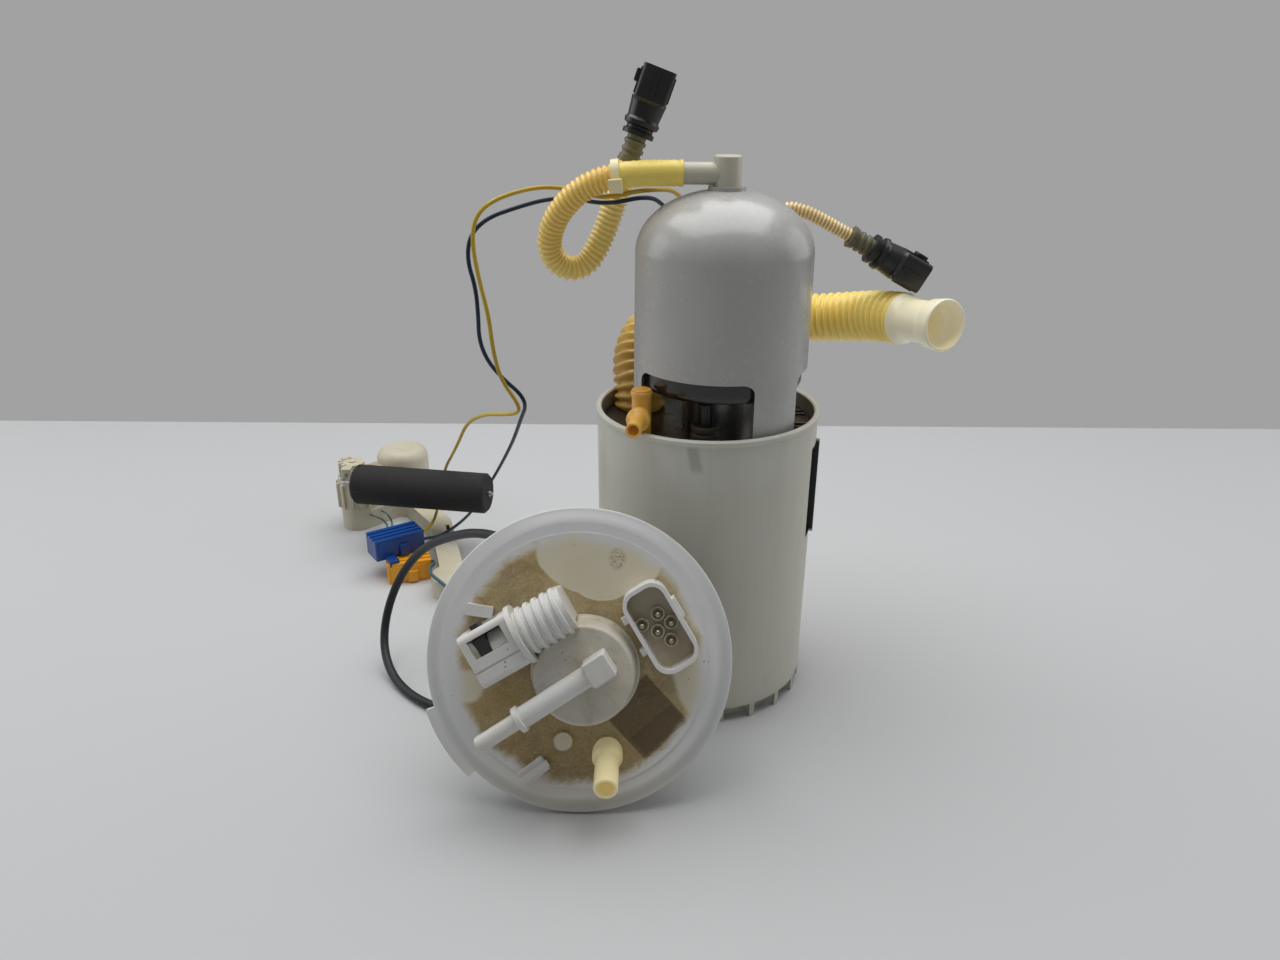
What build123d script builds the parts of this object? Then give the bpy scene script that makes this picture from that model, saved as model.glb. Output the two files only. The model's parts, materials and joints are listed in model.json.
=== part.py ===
"""In-tank fuel pump module with its flange, level sender, hoses and wiring.

Millimetres, +Z up. The origin is the centre of the reservoir's foot, on the surface it stands on.
Angles called azimuth are counted from the front (-Y) towards the right (+X).
"""

import os
from math import atan2, cos, degrees, hypot, pi, radians, sin, sqrt, tan

from build123d import *

# ---------------------------------------------------------------- clearances
running_gap = 0.06  # radial, shaft in its bearing
slip_gap = 0.15  # parts that slide or drop in
seat_gap = 0.3  # beside soft parts, and where one part leans on another

# ---------------------------------------------------------------- reservoir cup
cup_height = 165.0
cup_top_radius = 59.3
cup_draft = 0.4
cup_base_radius = cup_top_radius - cup_draft
cup_wall = 2.3
lip_swell = 0.7
lip_depth = 3.2
floor_level = 12.0
floor_thickness = 2.5
foot_inset = 5.9
foot_radius = cup_base_radius - foot_inset
foot_wall = 2.0
tooth_count = 20
tooth_width = 3.2
tooth_height = 8.5
slot_azimuth = 77.0
slot_width = 13.0
slot_bottom = 97.0
slot_top = 148.0
slot_rail = 1.8

# first fill valve and strainer in the floor
valve_x, valve_y = 22.0, 26.0
valve_disc_radius = 9.0
valve_disc_thickness = 1.2
valve_stem_radius = 1.8
valve_bulb_radius = 2.7
valve_lift = 1.5
valve_port_radius = 1.6
valve_port_circle = 5.6
valve_port_count = 6
strainer_inset = 7.0
strainer_radius = foot_radius - strainer_inset
strainer_thickness = 4.0
strainer_rib_count = 8

# ---------------------------------------------------------------- pump and its carrier
axis_x, axis_y = 5.3, -8.0  # common axis of pump, filter and dome
deck_level = 148.0
deck_thickness = 2.5
sleeve_wall = 2.0
sleeve_bottom = 98.0
strut_count = 3
strut_width = 7.0
grille_slot_width = 2.8
grille_slot_count = 6
grille_pitch = 5.0
pump_radius = 19.0
pump_shell = 1.2
pump_tube_bottom = 122.0
pump_tube_length = 72.0
pump_cover_depth = 10.0
pump_inlet_radius = 5.0
nipple_radius = 4.0
nipple_length = 14.0
magnet_thickness = 4.2
magnet_arc = 130.0
armature_radius = 12.6
armature_slots = 8
armature_length = 30.0
armature_slot_width = 3.0
shaft_radius = 2.0
commutator_radius = 8.0
commutator_length = 7.0
commutator_bars = 8
brush_size = 4.6
impeller_radius = 15.0
impeller_thickness = 3.6
impeller_blades = 24
check_ball_radius = 2.6

# ---------------------------------------------------------------- filter and dome
dome_room = 2.4
dome_radius = cup_top_radius - cup_wall - hypot(axis_x, axis_y) - dome_room
dome_taper = 0.4
dome_wall = 2.5
dome_skirt = 187.0
dome_shoulder = 247.0
dome_crown = 277.5
window_width = 60.0
window_corner = 5.0
leg_azimuths = (36.0, 156.0, 276.0)
bowl_bottom = 179.5
bowl_wall = 2.4
bowl_lap = 9.0
bowl_corner = 4.5
filter_pleats = 44
filter_inner = 24.0
filter_room = 7.5
filter_outer = dome_radius - filter_room
filter_height = 74.0
end_disc = 2.0
stub_radius = 6.8
stub_rise = 15.5
stub_top = dome_crown + stub_rise
barb_drop = 8.5
barb_level = stub_top - barb_drop
barb_radius = 5.3
barb_tip_x = -16.0

# ---------------------------------------------------------------- pressure regulator and fill elbow
regulator_x, regulator_y = -3.7, -40.0
regulator_ring_radius = 7.2
regulator_top = 167.0
regulator_cap_radius = 4.4
regulator_cap_height = 11.0
regulator_ribs = 10
plunger_radius = 2.2
plunger_lift = 1.5
elbow_azimuth = -45.080585
elbow_inset = 9.024658
elbow_place = cup_top_radius - elbow_inset
elbow_x = elbow_place * sin(radians(elbow_azimuth))
elbow_y = -elbow_place * cos(radians(elbow_azimuth))
elbow_radius = 4.9
spout_rise = 6.5
elbow_rise = 12.5
spout_level = cup_height + spout_rise
elbow_top = spout_level + elbow_rise
spout_reach_x, spout_reach_y = -3.9, -26.5
spout_collar_radius = 6.0
spout_tip_radius = 3.9
spout_root_radius = 4.6
spout_collar_place = 0.4  # share of the nozzle's length
spout_shoulder = 3.5

# ---------------------------------------------------------------- quick connectors
stem_radius = 5.6
stem_bore = 3.0
stem_length = 13.0
connector_collar = 8.0
connector_radius = 9.0
connector_length = 32.5
head_width = 22.0
head_depth = 16.5
head_length = 17.0
spigot_bore = 5.0
mouth_bore = 7.0
mouth_depth = 12.0
button_width = 8.0
button_length = 6.0
button_stand = 2.4
button_travel = 1.8

# ---------------------------------------------------------------- tank flange
flange_radius = 73.4
flange_thickness = 4.5
flange_lean = 22.0  # degrees that the face looks up from horizontal
flange_x = -64.6
clamp_ring_radius = 61.5
clamp_step = 0.8
skirt_radius = 60.0
skirt_wall = 2.4
skirt_depth = 12.0
lug_start, lug_end = 198.5, 227.0
lug_reach = 4.2
cap_x, cap_y = 3.0, -3.8
cap_radius = 25.3
cap_height = 16.0
cap_draft = 1.6
cap_bead = 0.9
pipe_angle = 213.0
pipe_tip_radius = 3.945
pipe_radius = 5.1
pipe_tip_length = 23.0
pipe_length = 68.0
pipe_collar_radius = 6.4
pipe_block = 12.4
pipe_lift = 6.6
coupling_angle = 210.0
coupling_x, coupling_y = -8.5, 25.5
coupling_height = 15.5
coupling_radius = 10.6
coupling_rib = 1.3
coupling_ribs = 4
coupling_run = 19.0
coupling_heel = 9.0
coupling_heel_round = 4.5
coupling_heel_ribs = 1
coupling_flange_radius = 14.6
coupling_bore = 7.0
coupling_blind = 2.0
coupling_lead_in = 1.0
coupling_lip = 1.2
coupling_flange = 2.4
cage_width = 26.0
cage_depth = 21.0
cage_length = 24.0
cage_wall = 2.0
cage_window_width = 9.0
retainer_travel = 1.5
socket_x, socket_y = 38.5, 18.0
socket_tilt = 31.0
socket_length = 43.0
socket_width = 22.5
socket_corner = 8.0
socket_height = 14.0
socket_wall = 1.9
socket_floor = 4.0
terminal_radius = 1.15
terminal_well = 2.6
terminal_sites = ((-7.2, 4.6), (1.9, 5.6), (-2.3, -1.6), (5.3, -1.1), (1.1, -8.3))
vent_x, vent_y = 13.8, -44.2
vent_radius = 5.7
vent_bore = 4.2
vent_collar_radius = 7.3
vent_length = 25.0
rollover_radius = 19.0
rollover_depth = 36.0
rollover_wall = 2.0
rollover_float_radius = 15.0
rollover_float_height = 20.0
plug_length = 30.0
plug_width = 17.0
plug_depth = 36.0

# ---------------------------------------------------------------- level sender
pivot_x, pivot_y = -257.0, 190.0
sender_height = 14.0
sender_wall = 2.2
tower_x, tower_y = -227.0, 224.0
tower_radius = 20.0
tower_height = 58.0
tower_fillet = 9.0
bend_x, bend_y = -188.0, 168.0
toe_x, toe_y = -163.0, 84.0
toe_radius = 15.0
spine_half_width = 8.0
boss_radius = 12.0
arm_level = 48.0
arm_radius = 1.25
arm_offset = 29.0
rotor_radius = 9.0
rotor_height = 10.0
rotor_teeth = 5
float_length = 101.0
float_radius = 14.6
float_chamfer = 2.0
float_yaw = -9.3
float_start = 12.5
pivot_pin_radius = 2.5
card_length = 20.0
card_width = 15.0
card_thickness = 1.0
orange_length = 30.0
blue_length = 36.0
plug_body_width = 19.0
plug_body_height = 15.0
plug_mouth_depth = 3.0
orange_yaw, blue_yaw = 18.3, 35.0
orange_x, orange_y = -199.0, 106.7
blue_x, blue_y = -209.0, 116.0

# ---------------------------------------------------------------- hoses, tube and wires
supply_radius = 6.4
return_radius = 3.7
transfer_radius = 14.2
tube_radius = 2.5
wire_radius = 1.1
lead_radius = 0.7
corner_share = 0.45  # of the shorter run beside a corner that its arc takes
cuff_length = 31.0
cuff_radius = 11.4
cuff_flare = 13.8
cuff_wall = 1.6
elbow_tip_length = 10.0
elbow_wall = 1.2
tie_place = 0.92  # along the hose's second run
tie_strap = 1.1
tie_width = 4.0
tie_wires = (2.2, 11.3)
tie_wire_room = 4.2
tie_head_width = 6.5
tie_head_height = 8.5
tie_head_depth = 4.5

supply_route = [
    (-16, -8, 284.5), (-34.5, -8, 284.5), (-50, -7.5, 283), (-62.5, -6, 278.5), (-73, -4, 270.5),
    (-80, -1, 260.5), (-83, 1.5, 251.5), (-82.3, 3.3, 243.3), (-77.9, 4.7, 237.3), (-70.9, 5.8, 235.2),
    (-64.2, 6.8, 238), (-59.2, 7.8, 245.5), (-54, 8.8, 256.5), (-49.5, 9.8, 270), (-43, 11, 288),
]
transfer_route = [
    (-36.2, 19.3, 150.55), (-36.2, 19.3, 164.5), (-38.6, 29.3, 180.5), (-33, 43.5, 193), (-19, 57, 198),
    (1, 65.5, 197.5), (23, 68.5, 196), (46, 68, 195.5), (69, 62, 197.5), (88, 50.5, 201.5),
    (100.5, 36.5, 205), (107.5, 23, 206.5),
]
return_route = [
    (28.5, 41, 150.55), (28.5, 41, 177), (28, 41.5, 204), (28.5, 41, 228), (29, 40.5, 243.5),
    (32.5, 39, 256.5), (41, 36.5, 263.5), (51.5, 33.8, 261.5), (63, 33, 256), (76, 33, 249),
]
yellow_route = [
    (-6, 43.5, 150.55), (-6, 43.5, 178), (-7, 44, 207), (-6, 42, 234), (-9.5, 37, 254.5),
    (-14.5, 25, 268.5), (-21, 10, 275), (-29.5, -1, 276), (-38.5, -6, 275.8), (-48.5, -6.8, 273.6),
    (-57.5, -1, 272.2), (-67, 7.6, 273.5), (-80.5, 11, 276), (-95, 7, 275), (-111, 2, 270),
    (-119.5, 0, 262.5), (-122, 0, 250), (-119.5, 0, 231), (-115.5, 0, 212), (-114.5, 1, 194),
    (-111.5, 2, 177.5), (-102.5, 2, 163.5), (-102.5, 5, 157), (-112, 14, 153), (-126, 31, 147.5),
    (-142, 60, 132), (-156, 100, 104), (-171, 144, 76), (-181, 168, 58), (-187, 177, 38),
    (-188.5, 168, 27.5), (-187.5, 150, 25), (-188.5, 136.5, 24), (-193, 129.6, 24),
    (-197.8, 126.3, 24),
]
black_route = [
    (-10.5, 42, 150.55), (-10.5, 42, 178), (-10.7, 41.8, 207), (-11, 41, 232), (-14.5, 37, 250),
    (-21, 27.5, 261.5), (-27.5, 13, 268.8), (-31.5, 2, 271.8), (-38.5, -4.5, 272.4),
    (-47.5, -5.3, 270.4), (-57.5, 0.5, 269.2), (-68, 9, 270), (-83.5, 12, 270), (-101, 8, 265.5),
    (-114.5, 4, 261),
    (-123.5, 3.5, 252.5), (-125.5, 3.5, 240), (-122, 3.5, 226), (-121.5, 3.5, 211.5), (-122, 4, 198),
    (-118, 4.5, 186), (-110, 5, 176), (-101.5, 5.5, 168), (-99, 9, 160), (-103.5, 20, 149),
    (-112, 48, 126), (-125, 92, 96), (-138, 138, 67), (-147, 166, 48), (-155, 176, 33),
    (-163, 168.5, 22.5), (-169.5, 156, 19), (-177, 142, 17.5), (-183.5, 130.5, 18.5),
    (-189.5, 124.7, 20.8), (-194.4, 121.3, 20.8),
]
tube_route = [
    (-95.3, -64.6, 105.4), (-103.5, -60.8, 112.5), (-117, -48, 110), (-134, -28.5, 99.5),
    (-160, 2, 77), (-178.5, 13, 53), (-188, 8.5, 30.5), (-189, -4, 13.5), (-181, -21, 4.4),
    (-167, -38, 2.7), (-150, -51, 3.4), (-128, -60, 2.7), (-105, -64, 4.5), (-87, -64, 9),
    (-74, -60, 15.5), (-63.3, -53.1, 20), (-54.07, -45.37, 20),
]
sender_lead_routes = [
    [(-246, 184.3, 11), (-243, 181.6, 11.2), (-239, 174.5, 14), (-229, 157, 20), (-219.5, 136, 25.5),
     (-217.8, 128.6, 26), (-214.8, 124.5, 26)],
    [(-239.3, 191.7, 11), (-236.4, 189.1, 11.2), (-232.5, 180, 14.5), (-225, 162, 20),
     (-216.5, 139, 25.5), (-215.4, 130.3, 26), (-212.4, 126.2, 26)],
]
flange_lead_route = [
    (-187.26, 109.53, 9), (-183.6, 110.6, 9), (-181.6, 109.1, 9.8), (-180.3, 106, 10.8),
    (-179.4, 101, 12.5), (-179.6, 94, 14.8), (-179.4, 86, 16.8), (-176.5, 75, 18.5), (-167.5, 63, 19.5),
    (-151, 45, 17),
    (-129, 20, 14), (-106, -4, 19), (-84, -24, 30), (-66, -38, 41.5), (-50, -46, 51),
    (-39, -50.6, 57), (-32, -54, 60), (-28, -57.6, 62.2), (-27.3, -61.9, 64.1),
]

# ================================================================ helpers


def turned(profile):
    """Solid turned about Z from a closed half profile of (radius, height) points."""
    return revolve(Plane.XZ * make_face(Polyline(*profile, close=True)), Axis.Z)


def drum(radius, bottom, top):
    """Upright cylinder about Z between two heights."""
    return Pos(0, 0, bottom) * extrude(Circle(radius), top - bottom)


def pipe(outer, inner, bottom, top):
    """Upright tube about Z between two heights."""
    return Pos(0, 0, bottom) * extrude(Circle(outer) - Circle(inner), top - bottom)


def block(width, depth, bottom, top, corner=0.0):
    """Upright block about Z, its plan corners rounded."""
    plan = RectangleRounded(width, depth, corner) if corner else Rectangle(width, depth)
    return Pos(0, 0, bottom) * extrude(plan, top - bottom)


def around(shape, count, start=0.0):
    """Copies of a shape turned evenly about Z."""
    return [Rot(0, 0, start + i * 360 / count) * shape for i in range(count)]


def at_azimuth(angle, shape):
    """A shape drawn towards -Y, turned to an azimuth."""
    return Rot(0, 0, angle) * shape


def cord(name, points, radius):
    """Round cord on straight runs joined by arcs as large as the runs allow."""
    path = [Vector(*p) for p in points]
    runs = [b - a for a, b in zip(path, path[1:])]
    radii = []
    for before, after in zip(runs, runs[1:]):
        half_turn = radians(before.get_angle(after)) / 2
        radii.append(corner_share * min(before.length, after.length) / tan(half_turn))
    wire = FilletPolyline(*path, radius=radii)
    start = Plane(origin=path[0], z_dir=runs[0])
    solid = sweep(start * Circle(radius), path=wire)
    expected = pi * radius**2 * wire.length
    print(f"{name}: length {wire.length:.1f}, volume / expected {solid.volume / expected:.4f},")
    print(f"  radii in diameters {[round(r / radius / 2, 1) for r in radii]}")
    return solid


# ================================================================ reservoir


def cup_radius(height):
    """Outer radius of the tapered wall at a height."""
    return cup_base_radius + (cup_top_radius - cup_base_radius) * height / cup_height


def reservoir_cup():
    """Swirl pot: tapered wall, rolled lip, floor, foot spigot, bayonet teeth and side slot."""
    inner_base = cup_base_radius - cup_wall
    inner_top = cup_top_radius - cup_wall
    floor_top = floor_level + floor_thickness
    body = turned(
        [
            (0, floor_level),
            (foot_radius - foot_wall, floor_level),
            (foot_radius - foot_wall, 0),
            (foot_radius, 0),
            (foot_radius, floor_level),
            (inner_base, floor_level),
            (inner_base, 0),
            (cup_base_radius, 0),
            (cup_top_radius, cup_height - lip_depth),
            (cup_top_radius + lip_swell, cup_height - lip_depth + lip_swell),
            (cup_top_radius + lip_swell, cup_height - lip_swell),
            (cup_top_radius, cup_height),
            (inner_top + lip_swell, cup_height),
            (inner_top, cup_height - lip_swell),
            (inner_base, floor_top),
            (0, floor_top),
        ]
    )
    pitch = 2 * pi * cup_base_radius / tooth_count
    notch = Pos(0, -cup_base_radius, tooth_height / 2) * Box(
        pitch - tooth_width, 3 * cup_wall, tooth_height
    )
    body -= around(notch, tooth_count)
    slot_height = slot_top - slot_bottom
    window = Pos(0, -cup_base_radius, (slot_top + slot_bottom) / 2) * Box(
        slot_width, 4 * cup_wall, slot_height
    )
    body -= at_azimuth(slot_azimuth, window)
    rail_plan = Pos(0, -cup_base_radius) * Rectangle(slot_rail, 2 * slot_rail)
    rail = Pos(0, 0, slot_bottom - slot_rail) * extrude(rail_plan, slot_height + 2 * slot_rail)
    for side in (-1, 1):
        body += at_azimuth(slot_azimuth, Pos(side * (slot_width + slot_rail) / 2, 0, 0) * rail)
    body -= Pos(valve_x, valve_y, 0) * drum(valve_stem_radius + slip_gap, 0, 2 * floor_level)
    port = Pos(valve_port_circle, 0, 0) * drum(valve_port_radius, 0, 2 * floor_level)
    body -= [Pos(valve_x, valve_y, 0) * p for p in around(port, valve_port_count)]
    body -= jet_axis() * drum(jet_bore_radius() + slip_gap, -5 * cup_wall, 5 * cup_wall)
    return body


def jet_bore_radius():
    """Radius of the jet pump's inlet where it passes the cup's wall."""
    return tube_radius + 0.8


def jet_axis():
    """Frame on the cup's outer wall where the return tube enters, Z outwards."""
    end, before = tube_route[-1], tube_route[-2]
    angle = atan2(end[1], end[0])
    wall = cup_radius(end[2])
    return Plane(
        origin=(wall * cos(angle), wall * sin(angle), end[2]), z_dir=(cos(angle), sin(angle), 0)
    )


def jet_pump():
    """Suction jet pump: inlet nipple through the wall, nozzle body and mixing tube on the floor."""
    end = tube_route[-1]
    reach = hypot(end[0], end[1]) - cup_radius(end[2])
    frame = jet_axis()
    inlet = drum(jet_bore_radius(), -7 * cup_wall, reach)
    body = drum(1.5 * jet_bore_radius(), -10 * cup_wall, -2 * cup_wall)
    mixer = drum(jet_bore_radius(), -18 * cup_wall, -8 * cup_wall)
    bore = drum(tube_radius / 2, -18 * cup_wall, reach)
    solid = frame * (inlet + body + mixer - bore)
    saddle_top = end[2] - jet_bore_radius() / 2
    saddle = Pos(frame.origin.X, frame.origin.Y, 0) * Rot(0, 0, degrees(atan2(end[1], end[0]))) * Pos(
        -6 * cup_wall, 0, 0
    ) * block(4 * cup_wall, 2 * jet_bore_radius(), floor_level + floor_thickness, saddle_top)
    return solid + saddle


def first_fill_valve():
    """Umbrella valve on the floor: disc above, stem through, bulb below."""
    top = floor_level + floor_thickness
    hole = valve_stem_radius + slip_gap
    bulb_drop = sqrt(valve_bulb_radius**2 - hole**2) + valve_lift + 2 * slip_gap
    disc = drum(valve_disc_radius, top, top + valve_disc_thickness)
    stem = drum(valve_stem_radius, floor_level - bulb_drop, top + valve_disc_thickness)
    bulb = Pos(0, 0, floor_level - bulb_drop) * Sphere(valve_bulb_radius)
    return Pos(valve_x, valve_y, slip_gap) * (disc + stem + bulb)


def inlet_strainer():
    """Mesh strainer under the floor: flat ring frame, ribs and hanging posts."""
    top = floor_level - valve_lift - 2 * valve_bulb_radius
    frame = pipe(strainer_radius, strainer_radius - 3, top - strainer_thickness, top)
    rib = Pos(strainer_radius / 2, 0, 0) * block(strainer_radius, 1.6, top - strainer_thickness, top)
    mesh = drum(strainer_radius, top - strainer_thickness, top - strainer_thickness + 0.6)
    post = Pos(strainer_radius - 2, 0, 0) * block(3, 3, top - 0.5, floor_level)
    return frame + around(rib, strainer_rib_count) + mesh + around(post, strut_count, 30)


# ================================================================ pump carrier


def pump_holder():
    """Black carrier in the cup: deck with grille, pump sleeve, struts to the floor and hose collars."""
    deck_top = deck_level + deck_thickness
    deck = drum(cup_radius(deck_level) - cup_wall - slip_gap, deck_level, deck_top)
    sleeve_outer = pump_radius + slip_gap + sleeve_wall
    sleeve = Pos(axis_x, axis_y, 0) * drum(sleeve_outer, sleeve_bottom, deck_top + 4)
    solid = deck + sleeve
    strut = Pos(0, -cup_base_radius + 3 * cup_wall + strut_width, 0) * block(
        strut_width, 2.4, floor_level + floor_thickness, deck_level
    )
    solid += [at_azimuth(angle, strut) for angle in (60, 170, 285)]
    brace = Pos(0, (-cup_base_radius + 3 * cup_wall + strut_width) / 2, 0) * block(
        2.4, cup_base_radius - 3 * cup_wall - strut_width, sleeve_bottom + 30, deck_level
    )
    solid += [at_azimuth(angle, brace) for angle in (60, 170, 285)]
    solid -= Pos(axis_x, axis_y, 0) * drum(pump_radius + slip_gap, sleeve_bottom - 1, deck_top + 5)
    first = axis_x + sleeve_outer + 4
    for i in range(grille_slot_count):
        level = -34 + i * grille_pitch
        length = sqrt((cup_base_radius - 3 * cup_wall) ** 2 - level**2) - first
        middle = first + length / 2
        solid -= Pos(middle, level, deck_level) * Box(length, grille_slot_width, 3 * deck_thickness)
    ring = pipe(
        regulator_ring_radius + 1.6, regulator_ring_radius - 1, deck_top - 0.5, regulator_top - 8
    )
    solid += Pos(regulator_x, regulator_y, 0) * ring
    solid -= Pos(regulator_x, regulator_y, 0) * drum(plunger_radius + 1, deck_level - 1, deck_top + 1)
    guard = pipe(dome_radius + 1.6, dome_radius + slip_gap, deck_top - 0.5, deck_top + 6)
    guard = Pos(axis_x, axis_y, 0) * guard
    keep = [Pos(axis_x, axis_y, 0) * at_azimuth(a, leg_wedge()) for a in leg_azimuths]
    solid += guard & Compound(keep)
    return solid


def leg_wedge():
    """Box that holds one dome leg and its pocket."""
    return Pos(0, -dome_radius, deck_level + 10) * Box(34, 16, 30)


# ================================================================ pump


def on_axis(shape):
    """Moves a shape drawn about Z to the common axis."""
    return Pos(axis_x, axis_y, 0) * shape


def pump_top():
    """Height of the steel tube's upper edge."""
    return pump_tube_bottom + pump_tube_length


def pump_housing():
    """Rolled steel tube."""
    return on_axis(pipe(pump_radius, pump_radius - pump_shell, pump_tube_bottom, pump_top()))


def pump_inlet_cover():
    """Inlet cover with a port and a shaft socket."""
    seat = pump_radius - pump_shell - running_gap
    low = pump_tube_bottom
    cover = drum(seat, low + 1, low + pump_cover_depth)
    cover += drum(pump_radius - 2, low - 3, low + 1)
    cover -= drum(shaft_radius + running_gap, low + 4, low + 2 * pump_cover_depth)
    cover -= Pos(9, 0, 0) * drum(pump_inlet_radius, low - 4, low + pump_cover_depth + 1)
    return on_axis(cover)


def impeller_level():
    """Underside of the impeller."""
    return pump_tube_bottom + pump_cover_depth + slip_gap


def pump_impeller():
    """Regenerative impeller: hub, web and blades round the rim."""
    level = impeller_level()
    wheel = drum(impeller_radius - 3.2, level, level + impeller_thickness)
    blade = Pos(impeller_radius - 2, 0, 0) * block(4, 0.8, level, level + impeller_thickness)
    wheel += around(blade, impeller_blades)
    wheel -= drum(shaft_radius, level - 1, level + impeller_thickness + 1)
    return on_axis(wheel)


def armature_level():
    """Underside of the laminated core."""
    return impeller_level() + impeller_thickness + 7


def pump_armature():
    """Shaft with a slotted core and its end windings."""
    level = armature_level()
    core = drum(armature_radius, level, level + armature_length)
    slot = Pos(armature_radius, 0, 0) * block(
        8, armature_slot_width, level - 1, level + armature_length + 1
    )
    core -= around(slot, armature_slots)
    windings = drum(armature_radius - 3, level - 3, level + armature_length + 3)
    bottom = pump_tube_bottom + 5
    shaft = drum(shaft_radius, bottom, pump_top() - 4)
    return on_axis(core + windings + shaft)


def commutator_level():
    """Underside of the commutator."""
    return armature_level() + armature_length + 4


def pump_commutator():
    """Segmented commutator on the shaft."""
    level = commutator_level()
    drum_part = drum(commutator_radius, level, level + commutator_length)
    groove = Pos(commutator_radius, 0, 0) * block(3, 0.6, level - 1, level + commutator_length + 1)
    drum_part -= around(groove, commutator_bars)
    drum_part -= drum(shaft_radius, level - 1, level + commutator_length + 1)
    return on_axis(drum_part)


def pump_magnets():
    """Two magnet arcs against the steel tube."""
    outer = pump_radius - pump_shell - running_gap
    level = armature_level() - 2
    ring = pipe(outer, outer - magnet_thickness, level, level + armature_length + 4)
    gap_angle = 180 - magnet_arc
    cut = Pos(outer, 0, level + armature_length / 2) * Box(
        2 * outer, 2 * outer * sin(radians(gap_angle / 2)), 2 * armature_length
    )
    return on_axis(ring - cut - Rot(0, 0, 180) * cut)


def pump_brushes():
    """Two carbon brushes that ride on the commutator."""
    level = commutator_level() + commutator_length / 2
    inner = commutator_radius + slip_gap
    outer = pump_radius - pump_shell - 2.5
    brush = Pos((inner + outer) / 2, 0, level) * Box(outer - inner, brush_size, brush_size)
    return on_axis(Compound([brush, Rot(0, 0, 180) * brush]))


def pump_outlet_cover():
    """Outlet cover with nipple, shaft bearing, check valve seat and brush cheeks."""
    seat = pump_radius - pump_shell - running_gap
    top = pump_top()
    cover = drum(seat, top - 7, top + 4)
    nipple = Pos(8, 0, 0) * drum(nipple_radius, top + 3, top + 4 + nipple_length)
    cover += nipple
    cover += Pos(-9, 0, 0) * block(6, 9, top + 3, top + 9, 1.5)
    cover -= drum(shaft_radius + running_gap, top - 8, top - 3)
    cover -= Pos(8, 0, 0) * drum(1.6, top - 8, top + 6)
    cover -= Pos(8, 0, 0) * drum(check_ball_radius + slip_gap, top + 5, top + 8 + nipple_length)
    outer = pump_radius - pump_shell - 2.5
    arm_low = commutator_level() + commutator_length / 2 - brush_size
    for side in (0, 180):
        arm = Pos(outer + 1.05, 0, 0) * block(1.8, brush_size, arm_low, top - 6)
        cover += Rot(0, 0, side) * arm
    return on_axis(cover)


def pump_check_valve():
    """Check poppet in the outlet nipple."""
    level = pump_top() + 5 + slip_gap
    ball = Pos(8, 0, level + check_ball_radius) * Sphere(check_ball_radius)
    return on_axis(ball)


# ================================================================ filter and dome


def dome_inner_radius():
    """Inside radius of the dome's straight wall."""
    return dome_radius - dome_wall


def filter_bowl():
    """Lower half of the filter housing, open upwards round the pump."""
    outer = dome_inner_radius() - slip_gap
    neck = pump_radius + slip_gap
    shell = turned(
        [
            (neck, bowl_bottom),
            (outer - bowl_corner, bowl_bottom),
            (outer - bowl_corner / 4, bowl_bottom + bowl_corner / 4),
            (outer, bowl_bottom + bowl_corner),
            (outer, dome_skirt + bowl_lap),
            (outer - bowl_wall, dome_skirt + bowl_lap),
            (outer - bowl_wall, bowl_bottom + bowl_corner),
            (outer - bowl_corner, bowl_bottom + bowl_wall),
            (neck + bowl_wall, bowl_bottom + bowl_wall),
            (neck + bowl_wall, bowl_bottom + 3 * bowl_wall),
            (neck, bowl_bottom + 3 * bowl_wall),
        ]
    )
    return on_axis(shell)


def filter_element():
    """Pleated paper ring between two end discs."""
    base = bowl_bottom + bowl_wall + running_gap
    points = []
    for i in range(2 * filter_pleats):
        radius = filter_outer if i % 2 else filter_outer - 6
        angle = pi * i / filter_pleats
        points.append((radius * cos(angle), radius * sin(angle)))
    plan = make_face(Polyline(*points, close=True)) - Circle(filter_inner + 1)
    pleats = Pos(0, 0, base + end_disc) * extrude(plan, filter_height - 2 * end_disc)
    lower = pipe(filter_outer, filter_inner, base, base + end_disc)
    top = base + filter_height
    upper = pipe(filter_outer, filter_inner, top - end_disc, top)
    return on_axis(pleats + lower + upper)


def dome_outline(inset):
    """Closed half outline of the dome, offset inwards."""
    radius = dome_radius - inset
    waist = radius - dome_taper
    crown = dome_crown - inset
    bottom = (0, dome_skirt - 1 if inset else dome_skirt)
    foot = (radius, bottom[1])
    shoulder = (waist, dome_shoulder)
    arc = EllipticalCenterArc((0, dome_shoulder), waist, crown - dome_shoulder, arc_size=90)
    sides = Line(bottom, foot) + Line(foot, shoulder) + arc + Line((0, crown), bottom)
    return Plane.XZ * make_face(sides)


def dome_cover():
    """White filter cover: domed shell with three legs that drop into the cup."""
    shell = revolve(dome_outline(0), Axis.Z) - revolve(dome_outline(dome_wall), Axis.Z)
    leg_bottom = deck_level + deck_thickness
    skirt = pipe(dome_radius, dome_inner_radius(), leg_bottom, dome_skirt + 0.01)
    height = dome_skirt + 4 - leg_bottom
    window = Pos(0, -dome_radius, leg_bottom + height / 2 - window_corner) * Box(
        window_width, dome_radius, height + 2 * window_corner
    )
    window = fillet(window.edges().filter_by(Axis.Y), window_corner)
    solid = shell + skirt
    for angle in leg_azimuths:
        solid -= at_azimuth(angle + 60, Pos(0, 0, 0) * window)
    boss = drum(stub_radius + 2.4, dome_crown - 2, dome_crown + 1.2)
    solid += boss
    solid -= drum(barb_radius - 1.2, dome_crown - 6, dome_crown + 3)
    return on_axis(solid)


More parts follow.
